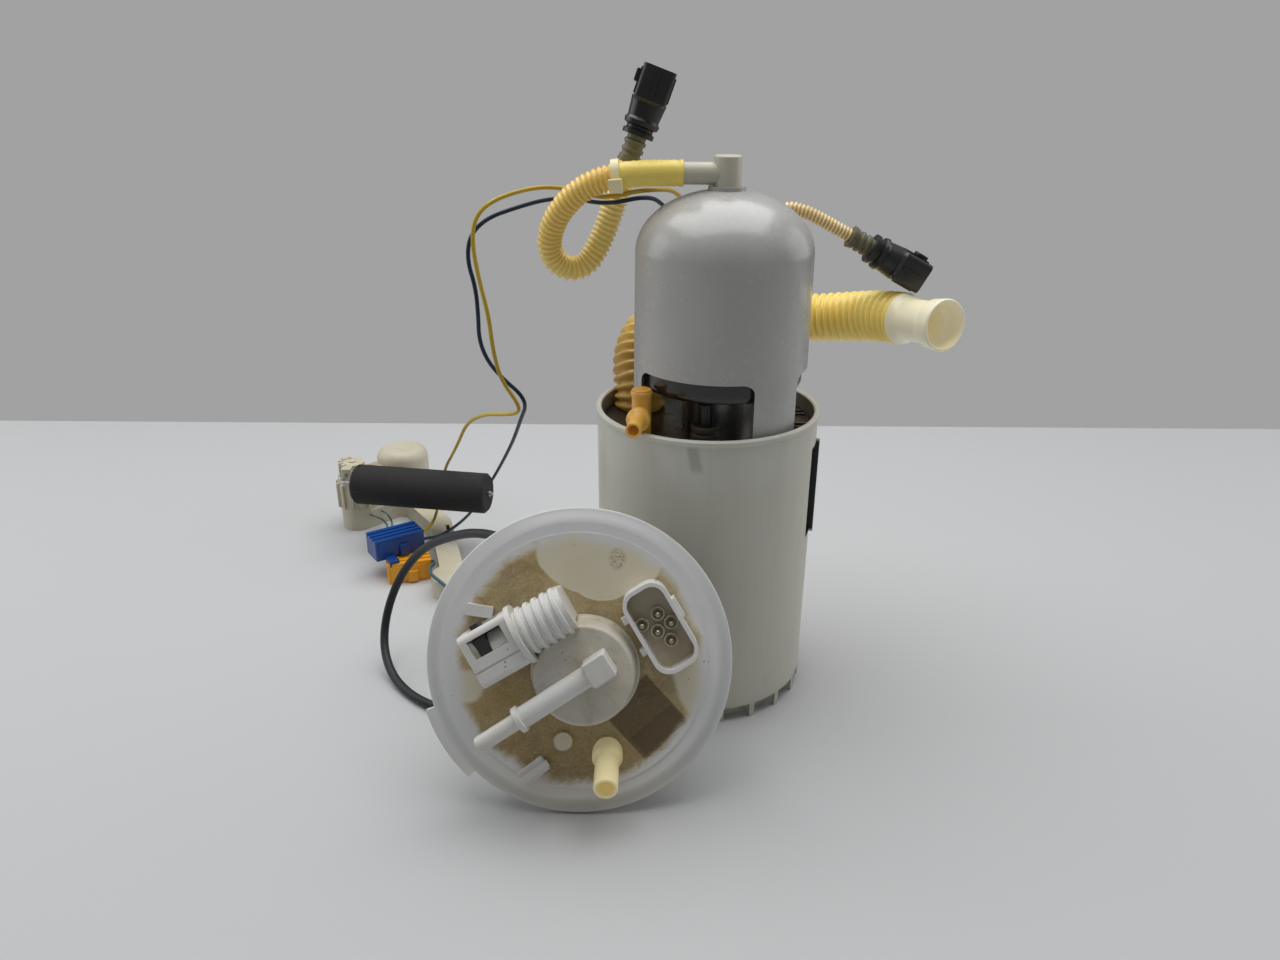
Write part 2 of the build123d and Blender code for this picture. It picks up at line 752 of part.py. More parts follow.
def outlet_elbow():
    """Outlet elbow welded on the crown, its barb towards -X."""
    base = dome_crown + 1.2
    stub = drum(stub_radius, base, stub_top)
    stub = fillet(stub.edges().group_by(Axis.Z)[-1], 1.0)
    length = axis_x - barb_tip_x
    barb = Pos(0, 0, barb_level) * Rot(0, -90, 0) * drum(barb_radius, 0, length)
    bore = Pos(0, 0, barb_level) * Rot(0, -90, 0) * drum(barb_radius - 1.8, 0, length + 1)
    riser = drum(barb_radius - 1.8, base - 1, barb_level)
    return on_axis(stub + barb - bore - riser)


# ================================================================ regulator and fill elbow


def regulator_body():
    """Stepped can of the pressure regulator on the deck."""
    low = deck_level + deck_thickness
    ledge = regulator_top - 8
    profile = [
        (plunger_radius + running_gap, low + 1),
        (regulator_ring_radius - 1 - slip_gap, low + 1),
        (regulator_ring_radius - 1 - slip_gap, ledge + slip_gap),
        (regulator_ring_radius, ledge + slip_gap),
        (regulator_ring_radius, regulator_top - 4),
        (regulator_ring_radius - 1.2, regulator_top - 4),
        (regulator_ring_radius - 1.2, regulator_top - 2.5),
        (regulator_ring_radius, regulator_top - 2.5),
        (regulator_ring_radius, regulator_top),
        (regulator_cap_radius + slip_gap, regulator_top),
        (regulator_cap_radius + slip_gap, regulator_top - 3),
        (plunger_radius + running_gap, regulator_top - 3),
    ]
    return Pos(regulator_x, regulator_y, 0) * turned(profile)


def regulator_cap():
    """Ribbed cap pressed into the regulator's can."""
    low = regulator_top - 3 + running_gap
    body = drum(regulator_cap_radius - 0.6, low, regulator_top + regulator_cap_height)
    body += drum(regulator_cap_radius, low, regulator_top + 1)
    rib = Pos(regulator_cap_radius - 0.7, 0, 0) * block(
        1.2, 0.9, regulator_top, regulator_top + regulator_cap_height - 1
    )
    body += around(rib, regulator_ribs)
    body -= drum(plunger_radius + running_gap, low - 1, regulator_top + regulator_cap_height - 2)
    return Pos(regulator_x, regulator_y, 0) * body


def regulator_plunger():
    """Valve poppet that lifts off its seat."""
    low = deck_level + deck_thickness + 1.3
    stem = drum(plunger_radius, low, regulator_top + regulator_cap_height - 2 - plunger_lift - 1)
    return Pos(regulator_x, regulator_y, 0) * stem


def fill_elbow():
    """Capped riser with a nozzle that points out over the lip."""
    low = deck_level + deck_thickness
    riser = drum(elbow_radius, low, elbow_top)
    riser += drum(elbow_radius + 0.5, elbow_top - 3, elbow_top - 1)
    riser = Pos(elbow_x, elbow_y, 0) * riser
    reach = Vector(spout_reach_x, spout_reach_y, 0)
    frame = Plane(origin=(elbow_x, elbow_y, spout_level), z_dir=reach)
    length = reach.length
    collar = length * spout_collar_place
    nozzle = turned(
        [
            (0, 0),
            (spout_root_radius, 0),
            (spout_root_radius, collar - 1),
            (spout_collar_radius, collar - 1),
            (spout_collar_radius, collar + 1.2),
            (spout_tip_radius, collar + spout_shoulder),
            (spout_tip_radius, length),
            (0, length),
        ]
    )
    bore = drum(spout_tip_radius - 1.2, 0, length + 1)
    return riser + frame * nozzle - frame * bore


# ================================================================ quick connectors


def supply_frame():
    """Frame at the end of the supply hose, Z along the connector."""
    end, before = Vector(*supply_route[-1]), Vector(*supply_route[-2])
    return Plane(origin=end, z_dir=end - before, x_dir=(0, 1, 0))


def return_frame():
    """Frame at the end of the return hose, Z along the connector."""
    end, before = Vector(*return_route[-1]), Vector(*return_route[-2])
    return Plane(origin=end, z_dir=end - before, x_dir=(0, 1, 0))


def stem(rib_count, grip):
    """Ribbed stem between hose and connector."""
    body = drum(stem_radius - 0.8, 0, stem_length + 6)
    spacing = stem_length / (rib_count + 0.5)
    for i in range(rib_count):
        low = 1 + i * spacing
        body += turned(
            [
                (stem_radius - 1, low),
                (stem_radius, low + 0.6),
                (stem_radius, low + spacing - 1.6),
                (stem_radius - 1, low + spacing - 1),
            ]
        )
    body += drum(grip, 0, 1.5)
    return body - drum(stem_bore, -1, stem_length + 7)


def connector_body():
    """Quick connector: collars at the stem, round waist, boxy head with ribs, mouth and button slot."""
    low = stem_length
    waist = turned(
        [
            (0, low),
            (connector_collar, low),
            (connector_collar, low + 2.2),
            (connector_radius - 2.2, low + 2.8),
            (connector_radius - 2.2, low + 4.2),
            (connector_radius - 0.4, low + 5),
            (connector_radius, low + 7),
            (connector_radius - 1, low + 8.4),
            (connector_radius, low + connector_length - head_length + 2),
            (0, low + connector_length - head_length + 2),
        ]
    )
    head_low = low + connector_length - head_length
    top = low + connector_length
    head = block(head_width, head_depth, head_low, top, 3)
    head = chamfer(head.edges().group_by(Axis.Z)[0], 1.5)
    rib = block(head_width + 1.6, 1.6, head_low + 3, top - 2)
    flute = block(1.6, head_depth + 1.4, head_low + 3, top - 2)
    solid = waist + head + rib
    solid += [Pos(side * head_width / 4, 0, 0) * flute for side in (-1, 1)]
    solid -= drum(stem_radius - 0.8 + slip_gap, low - 1, low + 6 + slip_gap)
    solid -= drum(spigot_bore, low + 5, top + 1)
    solid -= drum(mouth_bore, top - mouth_depth, top + 1)
    slot = Pos(0, head_depth / 2, top - mouth_depth / 2) * Box(
        button_width + 2 * slip_gap, head_depth, button_length + 2 * slip_gap
    )
    return solid - slot


def connector_button():
    """Release slide: bridge with legs in the head's slot, stands proud of the head."""
    top = stem_length + connector_length
    level = top - mouth_depth / 2
    outer = head_depth / 2 + button_stand
    inner = mouth_bore + slip_gap + button_travel
    pad = Pos(0, (outer + inner) / 2, level) * Box(button_width, outer - inner, button_length)
    return fillet(pad.edges().filter_by(Axis.X).group_by(Axis.Y)[-1], 0.8)


# ================================================================ tank flange


def lean_point():
    """Row-frame X and Y of the plug's rear corner that leans on the cup, in flange coordinates."""
    tilt = radians(socket_tilt)
    corners = []
    for u in (-1, 1):
        for v in (-1, 1):
            x = u * plug_width / 2
            y = v * plug_length / 2
            across = x * cos(tilt) - y * sin(tilt)
            along = x * sin(tilt) + y * cos(tilt)
            corners.append((socket_x + across, socket_y + along))
    return corners


def flange_frame():
    """Frame of the flange's face: X right, Y up the face, Z out of it.

    Its rear edge stands on the surface and its harness plug leans on the cup.
    """
    lean = radians(flange_lean)
    height = flange_radius * cos(lean) + flange_thickness * sin(lean)
    depth = flange_thickness + plug_depth
    nearest = min(
        -sqrt(cup_top_radius**2 - (flange_x + x) ** 2) - y * sin(lean) for x, y in lean_point()
    )
    y = nearest - depth * cos(lean) - seat_gap
    return Plane(origin=(flange_x, y, height), x_dir=(1, 0, 0), z_dir=(0, -cos(lean), sin(lean)))


def flange_plate():
    """Round flange: stepped face, underside skirt, locating lug and small bosses."""
    plate = drum(clamp_ring_radius, -flange_thickness, 0)
    plate += drum(flange_radius, -flange_thickness, -clamp_step)
    plate = fillet(plate.edges().filter_by(GeomType.CIRCLE).sort_by(SortBy.RADIUS)[-2:], 0.6)
    plate += pipe(skirt_radius, skirt_radius - skirt_wall, -flange_thickness - skirt_depth, -flange_thickness)
    lug_ring = pipe(flange_radius + lug_reach, flange_radius - 2, -flange_thickness, -clamp_step)
    sweep_angle = lug_end - lug_start
    reach = 2 * flange_radius
    wedge = make_face(
        Polyline(
            (0, 0),
            (reach * cos(radians(lug_start)), reach * sin(radians(lug_start))),
            (
                reach * cos(radians(lug_start + sweep_angle / 2)),
                reach * sin(radians(lug_start + sweep_angle / 2)),
            ),
            (reach * cos(radians(lug_end)), reach * sin(radians(lug_end))),
            close=True,
        )
    )
    plate += lug_ring & (Pos(0, 0, -2 * flange_thickness) * extrude(wedge, 3 * flange_thickness))
    blade = Pos(-47.5, 24, 0) * Rot(0, 0, -8) * block(13, 5.5, -0.5, 3.5, 1)
    fin = Pos(-21, -52.8, 0) * Rot(0, 0, 36) * block(16, 3, -flange_thickness / 2, 4.5)
    dot = Pos(-7.5, -38.7, 0) * drum(4.6, -0.5, 1.6)
    plate += blade + fin + dot
    plate -= Pos(cap_x, cap_y, 0) * drum(rollover_float_radius, -2 * flange_thickness, 1)
    plate -= Pos(coupling_x, coupling_y, 0) * drum(coupling_bore - 2, -2 * flange_thickness, 1)
    plate -= [
        socket_place() * Pos(x, y, 0) * drum(terminal_radius + running_gap, -2 * flange_thickness, 1)
        for x, y in terminal_sites
    ]
    return plate


def valve_cap():
    """Round cap over the roll-over valve, hollow below, with a base bead."""
    height = cap_height
    shell = turned(
        [
            (0, height),
            (cap_radius - cap_draft - 1.2, height),
            (cap_radius - cap_draft, height - 1.2),
            (cap_radius, 1.6),
            (cap_radius + cap_bead, 1.6),
            (cap_radius + cap_bead, 0),
            (cap_radius - 3.6, 0),
            (cap_radius - 3.6, height - 2.4),
            (0, height - 2.4),
        ]
    )
    port = drum(pipe_tip_radius - 1.4, height - 4, height + 1)
    inlet = Rot(0, 0, pipe_angle) * Pos(-6, 0, 0) * port
    return Pos(cap_x, cap_y, 0) * (shell - inlet)


def vapour_pipe():
    """Outlet pipe on the cap: square block, pipe, quick-connect collar and spigot."""
    lift = cap_height + pipe_lift
    axis = Pos(0, 0, lift) * Rot(0, 90, 0)
    run = pipe_length
    tip_start = run - pipe_tip_length
    line = turned(
        [
            (0, 4),
            (pipe_radius, 4),
            (pipe_radius, tip_start - 1.6),
            (pipe_collar_radius, tip_start - 1.2),
            (pipe_collar_radius, tip_start + 1.2),
            (pipe_tip_radius, tip_start + 1.6),
            (pipe_tip_radius, run - 1),
            (pipe_tip_radius - 0.8, run),
            (0, run),
        ]
    )
    body = block(pipe_block, pipe_block, cap_height, lift + pipe_block / 2, 1.5)
    body = Pos(2, 0, 0) * fillet(body.edges().group_by(Axis.Z)[-1], 1.0)
    bridge = Pos(14, 0, 0) * block(26, 3, cap_height, lift)
    bore = axis * drum(pipe_tip_radius - 1.4, 0, run + 1)
    riser = drum(pipe_tip_radius - 1.4, cap_height - 1, lift)
    solid = body + axis * line + bridge - bore - riser
    start = Pos(cap_x, cap_y, 0) * Rot(0, 0, pipe_angle) * Pos(-11, 0, 0)
    return start * solid


def coupling_frame():
    """Frame of the ribbed coupling's axis on the flange, Z outwards along the axis."""
    angle = radians(coupling_angle)
    return Plane(
        origin=(coupling_x, coupling_y, coupling_height),
        x_dir=(-sin(angle), cos(angle), 0),
        z_dir=(cos(angle), sin(angle), 0),
    )


def coupling_elbow():
    """Elbow that rises from the flange and runs out as a ribbed nozzle with a round flange."""
    frame = coupling_frame()
    nozzle = drum(coupling_radius, 0, coupling_run + 2)
    spacing = coupling_run / (coupling_ribs + 0.3)
    for i in range(-coupling_heel_ribs, coupling_ribs):
        low = 2 + i * spacing
        rib = drum(coupling_radius + coupling_rib, low, low + spacing * 0.55)
        nozzle += chamfer(rib.edges().filter_by(GeomType.CIRCLE), 0.5)
    nozzle += drum(coupling_flange_radius, coupling_run, coupling_run + coupling_flange)
    heel = drum(coupling_radius, -coupling_heel, 1)
    nozzle += fillet(heel.edges().group_by(Axis.Z)[0], coupling_heel_round)
    socket_end = coupling_run + coupling_flange + cage_length / 2
    nozzle += drum(coupling_bore + coupling_lip, coupling_run, socket_end)
    bore = drum(coupling_bore, coupling_blind, socket_end + 1)
    solid = frame * nozzle
    riser = Pos(coupling_x, coupling_y, 0) * drum(coupling_radius, 0, coupling_height)
    riser_bore = Pos(coupling_x, coupling_y, 0) * drum(coupling_bore - 2, -1, coupling_height)
    floor_cut = Pos(coupling_x, coupling_y, -50) * Box(200, 200, 100)
    cap_room = Pos(cap_x, cap_y, 0) * drum(cap_radius + cap_bead + slip_gap, -1, cap_height + slip_gap)
    return solid + riser - frame * bore - riser_bore - floor_cut - cap_room


def coupling_cage():
    """Square cage on the nozzle: window in its face, open sides for the latch, round mouth."""
    low = coupling_run + coupling_flange
    top = low + cage_length
    outer = block(cage_width, cage_depth, low, top, 3)
    inner = block(cage_width - 2 * cage_wall, cage_depth - 2 * cage_wall, low + 2, top - 2, 2)
    solid = outer - inner
    solid -= drum(coupling_bore + coupling_lip + slip_gap, low - 1, low + 3)
    solid -= drum(coupling_bore + coupling_lead_in, top - 3, top + 1)
    middle = (low + top) / 2
    bar = cage_width / 2 - cage_wall - 1.5
    window = Box(cage_window_width, cage_depth, cage_length - 7)
    solid -= Pos(cage_window_width / 2 - bar, cage_depth / 2, middle) * window
    side = Box(cage_width, cage_depth - 9, cage_length - 9)
    solid -= [Pos(x * cage_width / 2, 0, middle) * side for x in (-1, 1)]
    groove = Pos(cage_width / 5, cage_depth / 2, middle) * Box(1.2, 1.2, cage_length + 2)
    return coupling_frame() * (solid - groove)


def coupling_retainer():
    """Dark horseshoe latch in the cage that slides across the bore, its thumb pad outside."""
    low = coupling_run + coupling_flange + cage_length / 2 + slip_gap
    high = low + 6
    room = cage_width / 2 - cage_wall - slip_gap - retainer_travel
    half_depth = cage_depth / 2 - cage_wall - slip_gap
    latch = block(2 * room, 2 * half_depth, low, high, 1.5)
    opening = drum(coupling_bore + 0.6, low - 1, high + 1)
    opening += Pos(room / 2, 0, 0) * block(room + 1, 2 * coupling_bore + 1.2, low - 1, high + 1)
    stand = cage_width / 2 + retainer_travel + 0.5 - room
    pad = Pos(-room - stand / 2 + 0.5, 0, 0) * block(stand + 1, cage_depth - 11, low + 1, high - 1)
    return coupling_frame() * (latch - opening + pad)


def socket_place():
    """Place of the electrical socket on the flange."""
    return Pos(socket_x, socket_y, 0) * Rot(0, 0, socket_tilt)


def socket_shroud():
    """Rounded shroud with a raised floor, pin wells and two lock tabs."""
    outer = block(socket_width, socket_length, 0, socket_height, socket_corner)
    inner = block(
        socket_width - 2 * socket_wall,
        socket_length - 2 * socket_wall,
        socket_floor,
        socket_height + 1,
        socket_corner - socket_wall,
    )
    solid = outer - inner
    for x, y in terminal_sites:
        well = pipe(terminal_well + 0.8, terminal_well, socket_floor, socket_floor + 2.5)
        solid += Pos(x, y, 0) * well
        solid -= Pos(x, y, 0) * drum(terminal_radius + running_gap, -1, socket_floor + 1)
    tab = Pos(-socket_width / 2 - 1.2, 0, 0) * block(3, 3.6, 7, 11)
    solid += [Pos(0, y, 0) * tab for y in (-6, 11)]
    key = Pos(socket_width / 2 + 0.5, 4, 0) * block(2, 10, 2, socket_height - 1)
    return socket_place() * (solid + key)


def socket_terminals():
    """Five pins from the plug side through to the socket."""
    pins = []
    for x, y in terminal_sites:
        pin = drum(terminal_radius, -flange_thickness - 6, socket_height - 3)
        pin = chamfer(pin.edges().group_by(Axis.Z)[-1], 0.4)
        pins.append(socket_place() * Pos(x, y, 0) * pin)
    return Compound(pins)


def harness_plug():
    """Plug on the flange's underside, its rear corner rests against the cup."""
    low = -flange_thickness - plug_depth
    body = block(plug_width, plug_length, low, -flange_thickness - 0.05, 3)
    body += block(plug_width + 3, plug_length + 3, -flange_thickness - 12, -flange_thickness - 8, 3)
    grip = Pos(-plug_width / 2, 0, 0) * block(2, plug_length * 0.6, low + 4, low + 14)
    body += grip
    body -= [
        Pos(x, y, 0) * drum(terminal_radius + running_gap, -flange_thickness - 8, 0)
        for x, y in terminal_sites
    ]
    return socket_place() * body


def vent_nipple():
    """Pale nipple that leaves the face level with the surface."""
    root = Pos(vent_x, vent_y, 0)
    tilt = Rot(flange_lean, 0, 0)
    tube = turned(
        [
            (vent_bore, -6),
            (vent_collar_radius, -6),
            (vent_collar_radius, 3.4),
            (vent_radius, 6),
            (vent_radius, vent_length - 0.6),
            (vent_radius - 0.6, vent_length),
            (vent_bore, vent_length),
        ]
    )
    cut = Pos(0, 0, -50) * Box(200, 200, 100)
    return root * (tilt * Pos(0, 0, 1) * tube - cut)


def rollover_housing():
    """Roll-over valve cage under the cap, vented at its foot."""
    low = -flange_thickness - rollover_depth
    shell = pipe(rollover_radius, rollover_radius - rollover_wall, low, -flange_thickness)
    floor_disc = drum(rollover_radius, low, low + rollover_wall)
    vent = Pos(9, 0, 0) * drum(2.5, low - 1, low + rollover_wall + 1)
    floor_disc -= around(vent, 6)
    slit = Pos(rollover_radius, 0, 0) * block(8, 3, low + 8, -flange_thickness - 8)
    return Pos(cap_x, cap_y, 0) * (shell + floor_disc - around(slit, 4))


def rollover_float():
    """Float that rises to close the vent."""
    low = -flange_thickness - rollover_depth + rollover_wall + running_gap
    body = drum(rollover_float_radius, low, low + rollover_float_height)
    high = low + rollover_float_height
    body += turned([(0, high), (4, high), (0, high + 5)])
    return Pos(cap_x, cap_y, 0) * body


def tube_elbow():
    """Underside elbow whose tip carries the black tube."""
    frame = flange_frame()
    start = frame.to_local_coords(Vector(*tube_route[0]))
    toward = frame.to_local_coords(Vector(*tube_route[1])) - start
    back = start - toward.normalized() * elbow_tip_length
    tip = Plane(origin=back, z_dir=toward) * drum(tube_radius, 0, elbow_tip_length)
    knuckle = Pos(back.X, back.Y, back.Z) * Sphere(tube_radius + elbow_wall)
    riser = Pos(back.X, back.Y, 0) * drum(tube_radius + elbow_wall, back.Z, -flange_thickness)
    return tip + knuckle + riser


# ================================================================ level sender


def rotor_arm_direction():
    """Unit vector of the float's axis in plan."""
    return Vector(cos(radians(float_yaw)), sin(radians(float_yaw)), 0)


def bar_between(ax, ay, bx, by, half):
    """Plan of a straight bar between two points."""
    angle = degrees(atan2(by - ay, bx - ax))
    middle = Pos((ax + bx) / 2, (ay + by) / 2) * Rot(0, 0, angle)
    return middle * Rectangle(hypot(bx - ax, by - ay), 2 * half)


def sender_plan(inset):
    """Plan of the moulded carrier, drawn in by a wall."""
    half = spine_half_width - inset
    return (
        Pos(tower_x, tower_y) * Circle(tower_radius - inset)
        + bar_between(pivot_x, pivot_y, tower_x, tower_y, boss_radius - inset)
        + bar_between(tower_x, tower_y, bend_x, bend_y, half)
        + Pos(bend_x, bend_y) * Circle(half)
        + bar_between(bend_x, bend_y, toe_x, toe_y, half)
        + Pos(toe_x, toe_y) * Circle(toe_radius - inset)
    )


def sender_body():
    """Moulded carrier: pivot boss, domed tower, bent arm and round toe, hollow underneath."""
    boss_top = arm_level - rotor_height / 2 - slip_gap
    solid = extrude(sender_plan(0) + Pos(pivot_x, pivot_y) * Circle(boss_radius), sender_height)
    tower = Pos(tower_x, tower_y, 0) * drum(tower_radius, 0, tower_height)
    solid += fillet(tower.edges().group_by(Axis.Z)[-1], tower_fillet)
    solid -= extrude(sender_plan(sender_wall), sender_height - sender_wall)
    boss = drum(boss_radius, 0, boss_top) - drum(boss_radius - sender_wall, -1, boss_top - 2 * sender_wall)
    pin = drum(pivot_pin_radius, boss_top - 1, arm_level + rotor_height / 2 + 1)
    solid += Pos(pivot_x, pivot_y, 0) * (boss + pin)
    slot = Pos(bend_x + 8, bend_y - 12, 0) * Rot(0, 0, -73) * block(10, 2.6, 0, 2 * sender_height)
    solid -= slot
    shelf_top = card_level() - slip_gap / 2
    shelf = card_place() * block(card_length - 2, 3, sender_height - 1, shelf_top)
    return solid + shelf


def card_level():
    """Underside of the resistor card, just under the rotor."""
    return arm_level - rotor_height / 2 - card_thickness - slip_gap


def card_place():
    """Middle of the resistor card, beside the pivot towards the tower."""
    angle = degrees(atan2(tower_y - pivot_y, tower_x - pivot_x))
    turned_place = Pos(pivot_x, pivot_y, 0) * Rot(0, 0, angle)
    return turned_place * Pos(boss_radius + card_width / 2, 0, 0) * Rot(0, 0, 90)


def sender_card():
    """Resistor card with its contact tracks, on its shelf beside the rotor."""
    level = card_level()
    plate = card_place() * block(card_length, card_width - 1, level, level + card_thickness, 1)
    track = card_place() * Pos(0, 1, 0) * block(card_length - 4, 2, level, level + card_thickness + 0.08)
    room = Pos(tower_x, tower_y, 0) * drum(tower_radius + slip_gap, 0, tower_height)
    return plate + track - room


def sender_rotor():
    """Arm holder: hub on the pivot pin with a toothed clip round its edge."""
    low = arm_level - rotor_height / 2
    high = arm_level + rotor_height / 2
    hub = drum(rotor_radius, low, high)
    tooth = Pos(-rotor_radius, 0, 0) * block(3.4, 2.6, low, high + 1)
    hub += [Rot(0, 0, -60 + i * 30) * tooth for i in range(rotor_teeth)]
    cheek = Pos(-1, -rotor_radius - 2.5, 0) * block(7, 9, low, high, 1)
    hub += cheek
    hub -= drum(pivot_pin_radius + running_gap, low - 1, high + 1)
    groove = drum(arm_radius + slip_gap, rotor_radius - 2, rotor_radius + 12)
    channel = Pos(-1, 0, arm_level) * Rot(90, 0, 0) * groove
    return Pos(pivot_x, pivot_y, 0) * (hub - channel)


def float_axis():
    """Frame of the float's axis, Z from the arm's bend towards the tip."""
    corner = Vector(pivot_x - 1, pivot_y - arm_offset, arm_level)
    return Plane(origin=corner, z_dir=rotor_arm_direction())


def float_arm():
    """Bent wire: out of the rotor, round one corner and through the float."""
    frame = float_axis()
    start = Vector(pivot_x - 1, pivot_y - rotor_radius + 1.5, arm_level)
    corner = frame.origin
    end = corner + rotor_arm_direction() * (float_start + float_length + 3)
    wire = FilletPolyline(start, corner, end, radius=5)
    section = Plane(origin=start, z_dir=corner - start) * Circle(arm_radius)
    arm = sweep(section, path=wire)
    stops = [float_start - 1.6, float_start + float_length + slip_gap]
    arm += [frame * Pos(0, 0, s) * drum(arm_radius + 0.9, 0, 1.4) for s in stops]
    return arm


def float_foam():
    """Foam cylinder, chamfered at both ends, with a slot at its inner end."""
    body = drum(float_radius, float_start, float_start + float_length)
    body = chamfer(body.edges().filter_by(GeomType.CIRCLE), float_chamfer)
    body -= drum(arm_radius + running_gap, float_start - 1, float_start + float_length + 1)
    notch = Pos(0, 0, float_start) * Box(2.2, 2 * float_radius + 2, 9)
    return float_axis() * (body - notch)


def lead_plug(length, height):
    """Ribbed connector with an open mouth and a latch tab, standing on a height."""
    top = height + plug_body_height
    body = block(length, plug_body_width, height, top, 1.2)
    rib = block(length - 6, 1.4, height + 2, top - 2)
    body += [Pos(-1, side * plug_body_width / 2, 0) * rib for side in (-1, 1)]
    groove = block(length + 2, 1.6, top - 1.4, top + 1)
    body -= [Pos(0, y, 0) * groove for y in (-5, 0, 5)]
    mouth = Box(2 * plug_mouth_depth, plug_body_width - 6, plug_body_height - 7)
    body -= Pos(length / 2, 0, height + plug_body_height / 2) * mouth
    latch = block(7, 3.4, height + 1, height + 9, 0.8)
    return body + Pos(2, -plug_body_width / 2 - 1, 0) * latch


def orange_connector():
    """Lower connector, flat on the surface."""
    return Pos(orange_x, orange_y, 0) * Rot(0, 0, orange_yaw) * lead_plug(orange_length, 0)


def blue_connector():
    """Upper connector, resting on the lower one."""
    shape = lead_plug(blue_length, plug_body_height + running_gap)
    return Pos(blue_x, blue_y, 0) * Rot(0, 0, blue_yaw) * shape


# ================================================================ hose fittings


def cuff_frame():
    """Frame at the end of the transfer hose, Z along its smooth cuff."""
    end, before = Vector(*transfer_route[-1]), Vector(*transfer_route[-2])
    direction = (end - before).normalized()
    return Plane(origin=end, z_dir=direction)


def transfer_cuff():
    """Smooth cuff that flares to an open end with an inner bead."""
    profile = [
        (transfer_radius, 0),
        (cuff_radius + 1, 2.5),
        (cuff_radius, 5),
        (cuff_radius, cuff_length * 0.62),
        (cuff_flare - 0.8, cuff_length * 0.72),
        (cuff_flare, cuff_length - 1),
        (cuff_flare - 0.5, cuff_length),
        (cuff_flare - cuff_wall, cuff_length),
        (cuff_flare - cuff_wall, cuff_length * 0.74),
        (cuff_radius - cuff_wall, cuff_length * 0.62),
        (cuff_radius - cuff_wall, 0),
    ]
    return cuff_frame() * turned(profile)


def cable_tie():
    """Strap drawn round the supply hose and both wires, with its head in front."""
    start, end = Vector(*supply_route[1]), Vector(*supply_route[2])
    middle = start + (end - start) * tie_place
    frame = Plane(origin=middle, z_dir=end - start, x_dir=(0, 1, 0))
    hose = supply_radius + seat_gap
    inner = make_hull([*Circle(hose).edges(), *(Pos(*tie_wires) * Circle(tie_wire_room)).edges()])
    grown = [*Circle(hose + tie_strap).edges()]
    grown += (Pos(*tie_wires) * Circle(tie_wire_room + tie_strap)).edges()
    strap = Pos(0, 0, -tie_width / 2) * extrude(make_hull(grown) - inner, tie_width)
    head = Pos(-hose - tie_strap - tie_head_depth / 2 + 0.3, 5, 0) * Box(
        tie_head_depth, tie_head_height, tie_head_width
    )
    return frame * (strap + head)


# ================================================================ assembly


def flange_part(shape):
    """Moves a shape drawn on the flange's face into the row frame."""
    return flange_frame() * shape


def cord_pair(name, points, radius, side):
    """Two cords side by side in one node."""
    shift = Vector(*side) * (radius + 0.15)
    first = [tuple(Vector(*p) + shift) for p in points]
    second = [tuple(Vector(*p) - shift) for p in points]
    return Compound([cord(f"{name} a", first, radius), cord(f"{name} b", second, radius)])


def all_parts():
    """Every node's solid by name."""
    parts = {
        "reservoir_cup": reservoir_cup(),
        "jet_pump": jet_pump(),
        "first_fill_valve": first_fill_valve(),
        "inlet_strainer": inlet_strainer(),
        "pump_holder": pump_holder(),
        "pump_housing": pump_housing(),
        "pump_inlet_cover": pump_inlet_cover(),
        "pump_impeller": pump_impeller(),
        "pump_armature": pump_armature(),
        "pump_commutator": pump_commutator(),
        "pump_magnets": pump_magnets(),
        "pump_brushes": pump_brushes(),
        "pump_outlet_cover": pump_outlet_cover(),
        "pump_check_valve": pump_check_valve(),
        "filter_bowl": filter_bowl(),
        "filter_element": filter_element(),
        "dome_cover": dome_cover(),
        "outlet_elbow": outlet_elbow(),
        "regulator_body": regulator_body(),
        "regulator_cap": regulator_cap(),
        "regulator_plunger": regulator_plunger(),
        "fill_elbow": fill_elbow(),
        "supply_stem": supply_frame() * stem(3, stem_radius + 0.4),
        "supply_connector": supply_frame() * connector_body(),
        "supply_release": supply_frame() * connector_button(),
        "return_stem": return_frame() * stem(3, stem_radius + 0.4),
        "return_connector": return_frame() * connector_body(),
        "return_release": return_frame() * connector_button(),
        "transfer_cuff": transfer_cuff(),
        "cable_tie": cable_tie(),
        "flange_plate": flange_part(flange_plate()),
        "valve_cap": flange_part(valve_cap()),
        "vapour_pipe": flange_part(vapour_pipe()),
        "coupling_elbow": flange_part(coupling_elbow()),
        "coupling_cage": flange_part(coupling_cage()),
        "coupling_retainer": flange_part(coupling_retainer()),
        "socket_shroud": flange_part(socket_shroud()),
        "socket_terminals": flange_part(socket_terminals()),
        "harness_plug": flange_part(harness_plug()),
        "vent_nipple": flange_part(vent_nipple()),
        "rollover_housing": flange_part(rollover_housing()),
        "rollover_float": flange_part(rollover_float()),
        "tube_elbow": flange_part(tube_elbow()),
        "sender_body": sender_body(),
        "sender_card": sender_card(),
        "sender_rotor": sender_rotor(),
        "float_arm": float_arm(),
        "float": float_foam(),
        "orange_connector": orange_connector(),
        "blue_connector": blue_connector(),
        "supply_hose": cord("supply_hose", supply_route, supply_radius),
        "transfer_hose": cord("transfer_hose", transfer_route, transfer_radius),
        "return_hose": cord("return_hose", return_route, return_radius),
        "return_tube": cord("return_tube", tube_route, tube_radius),
        "pump_wire_yellow": cord("pump_wire_yellow", yellow_route, wire_radius),
        "pump_wire_black": cord("pump_wire_black", black_route, wire_radius),
        "sender_leads": Compound([cord("sender_leads", r, lead_radius) for r in sender_lead_routes]),
        "flange_leads": cord_pair("flange_leads", flange_lead_route, lead_radius, (0, 0, 1)),
    }
    return parts


if __name__ == "__main__":
    os.makedirs("parts", exist_ok=True)
    for node, solid in all_parts().items():
        export_step(solid, f"parts/{node}.step")
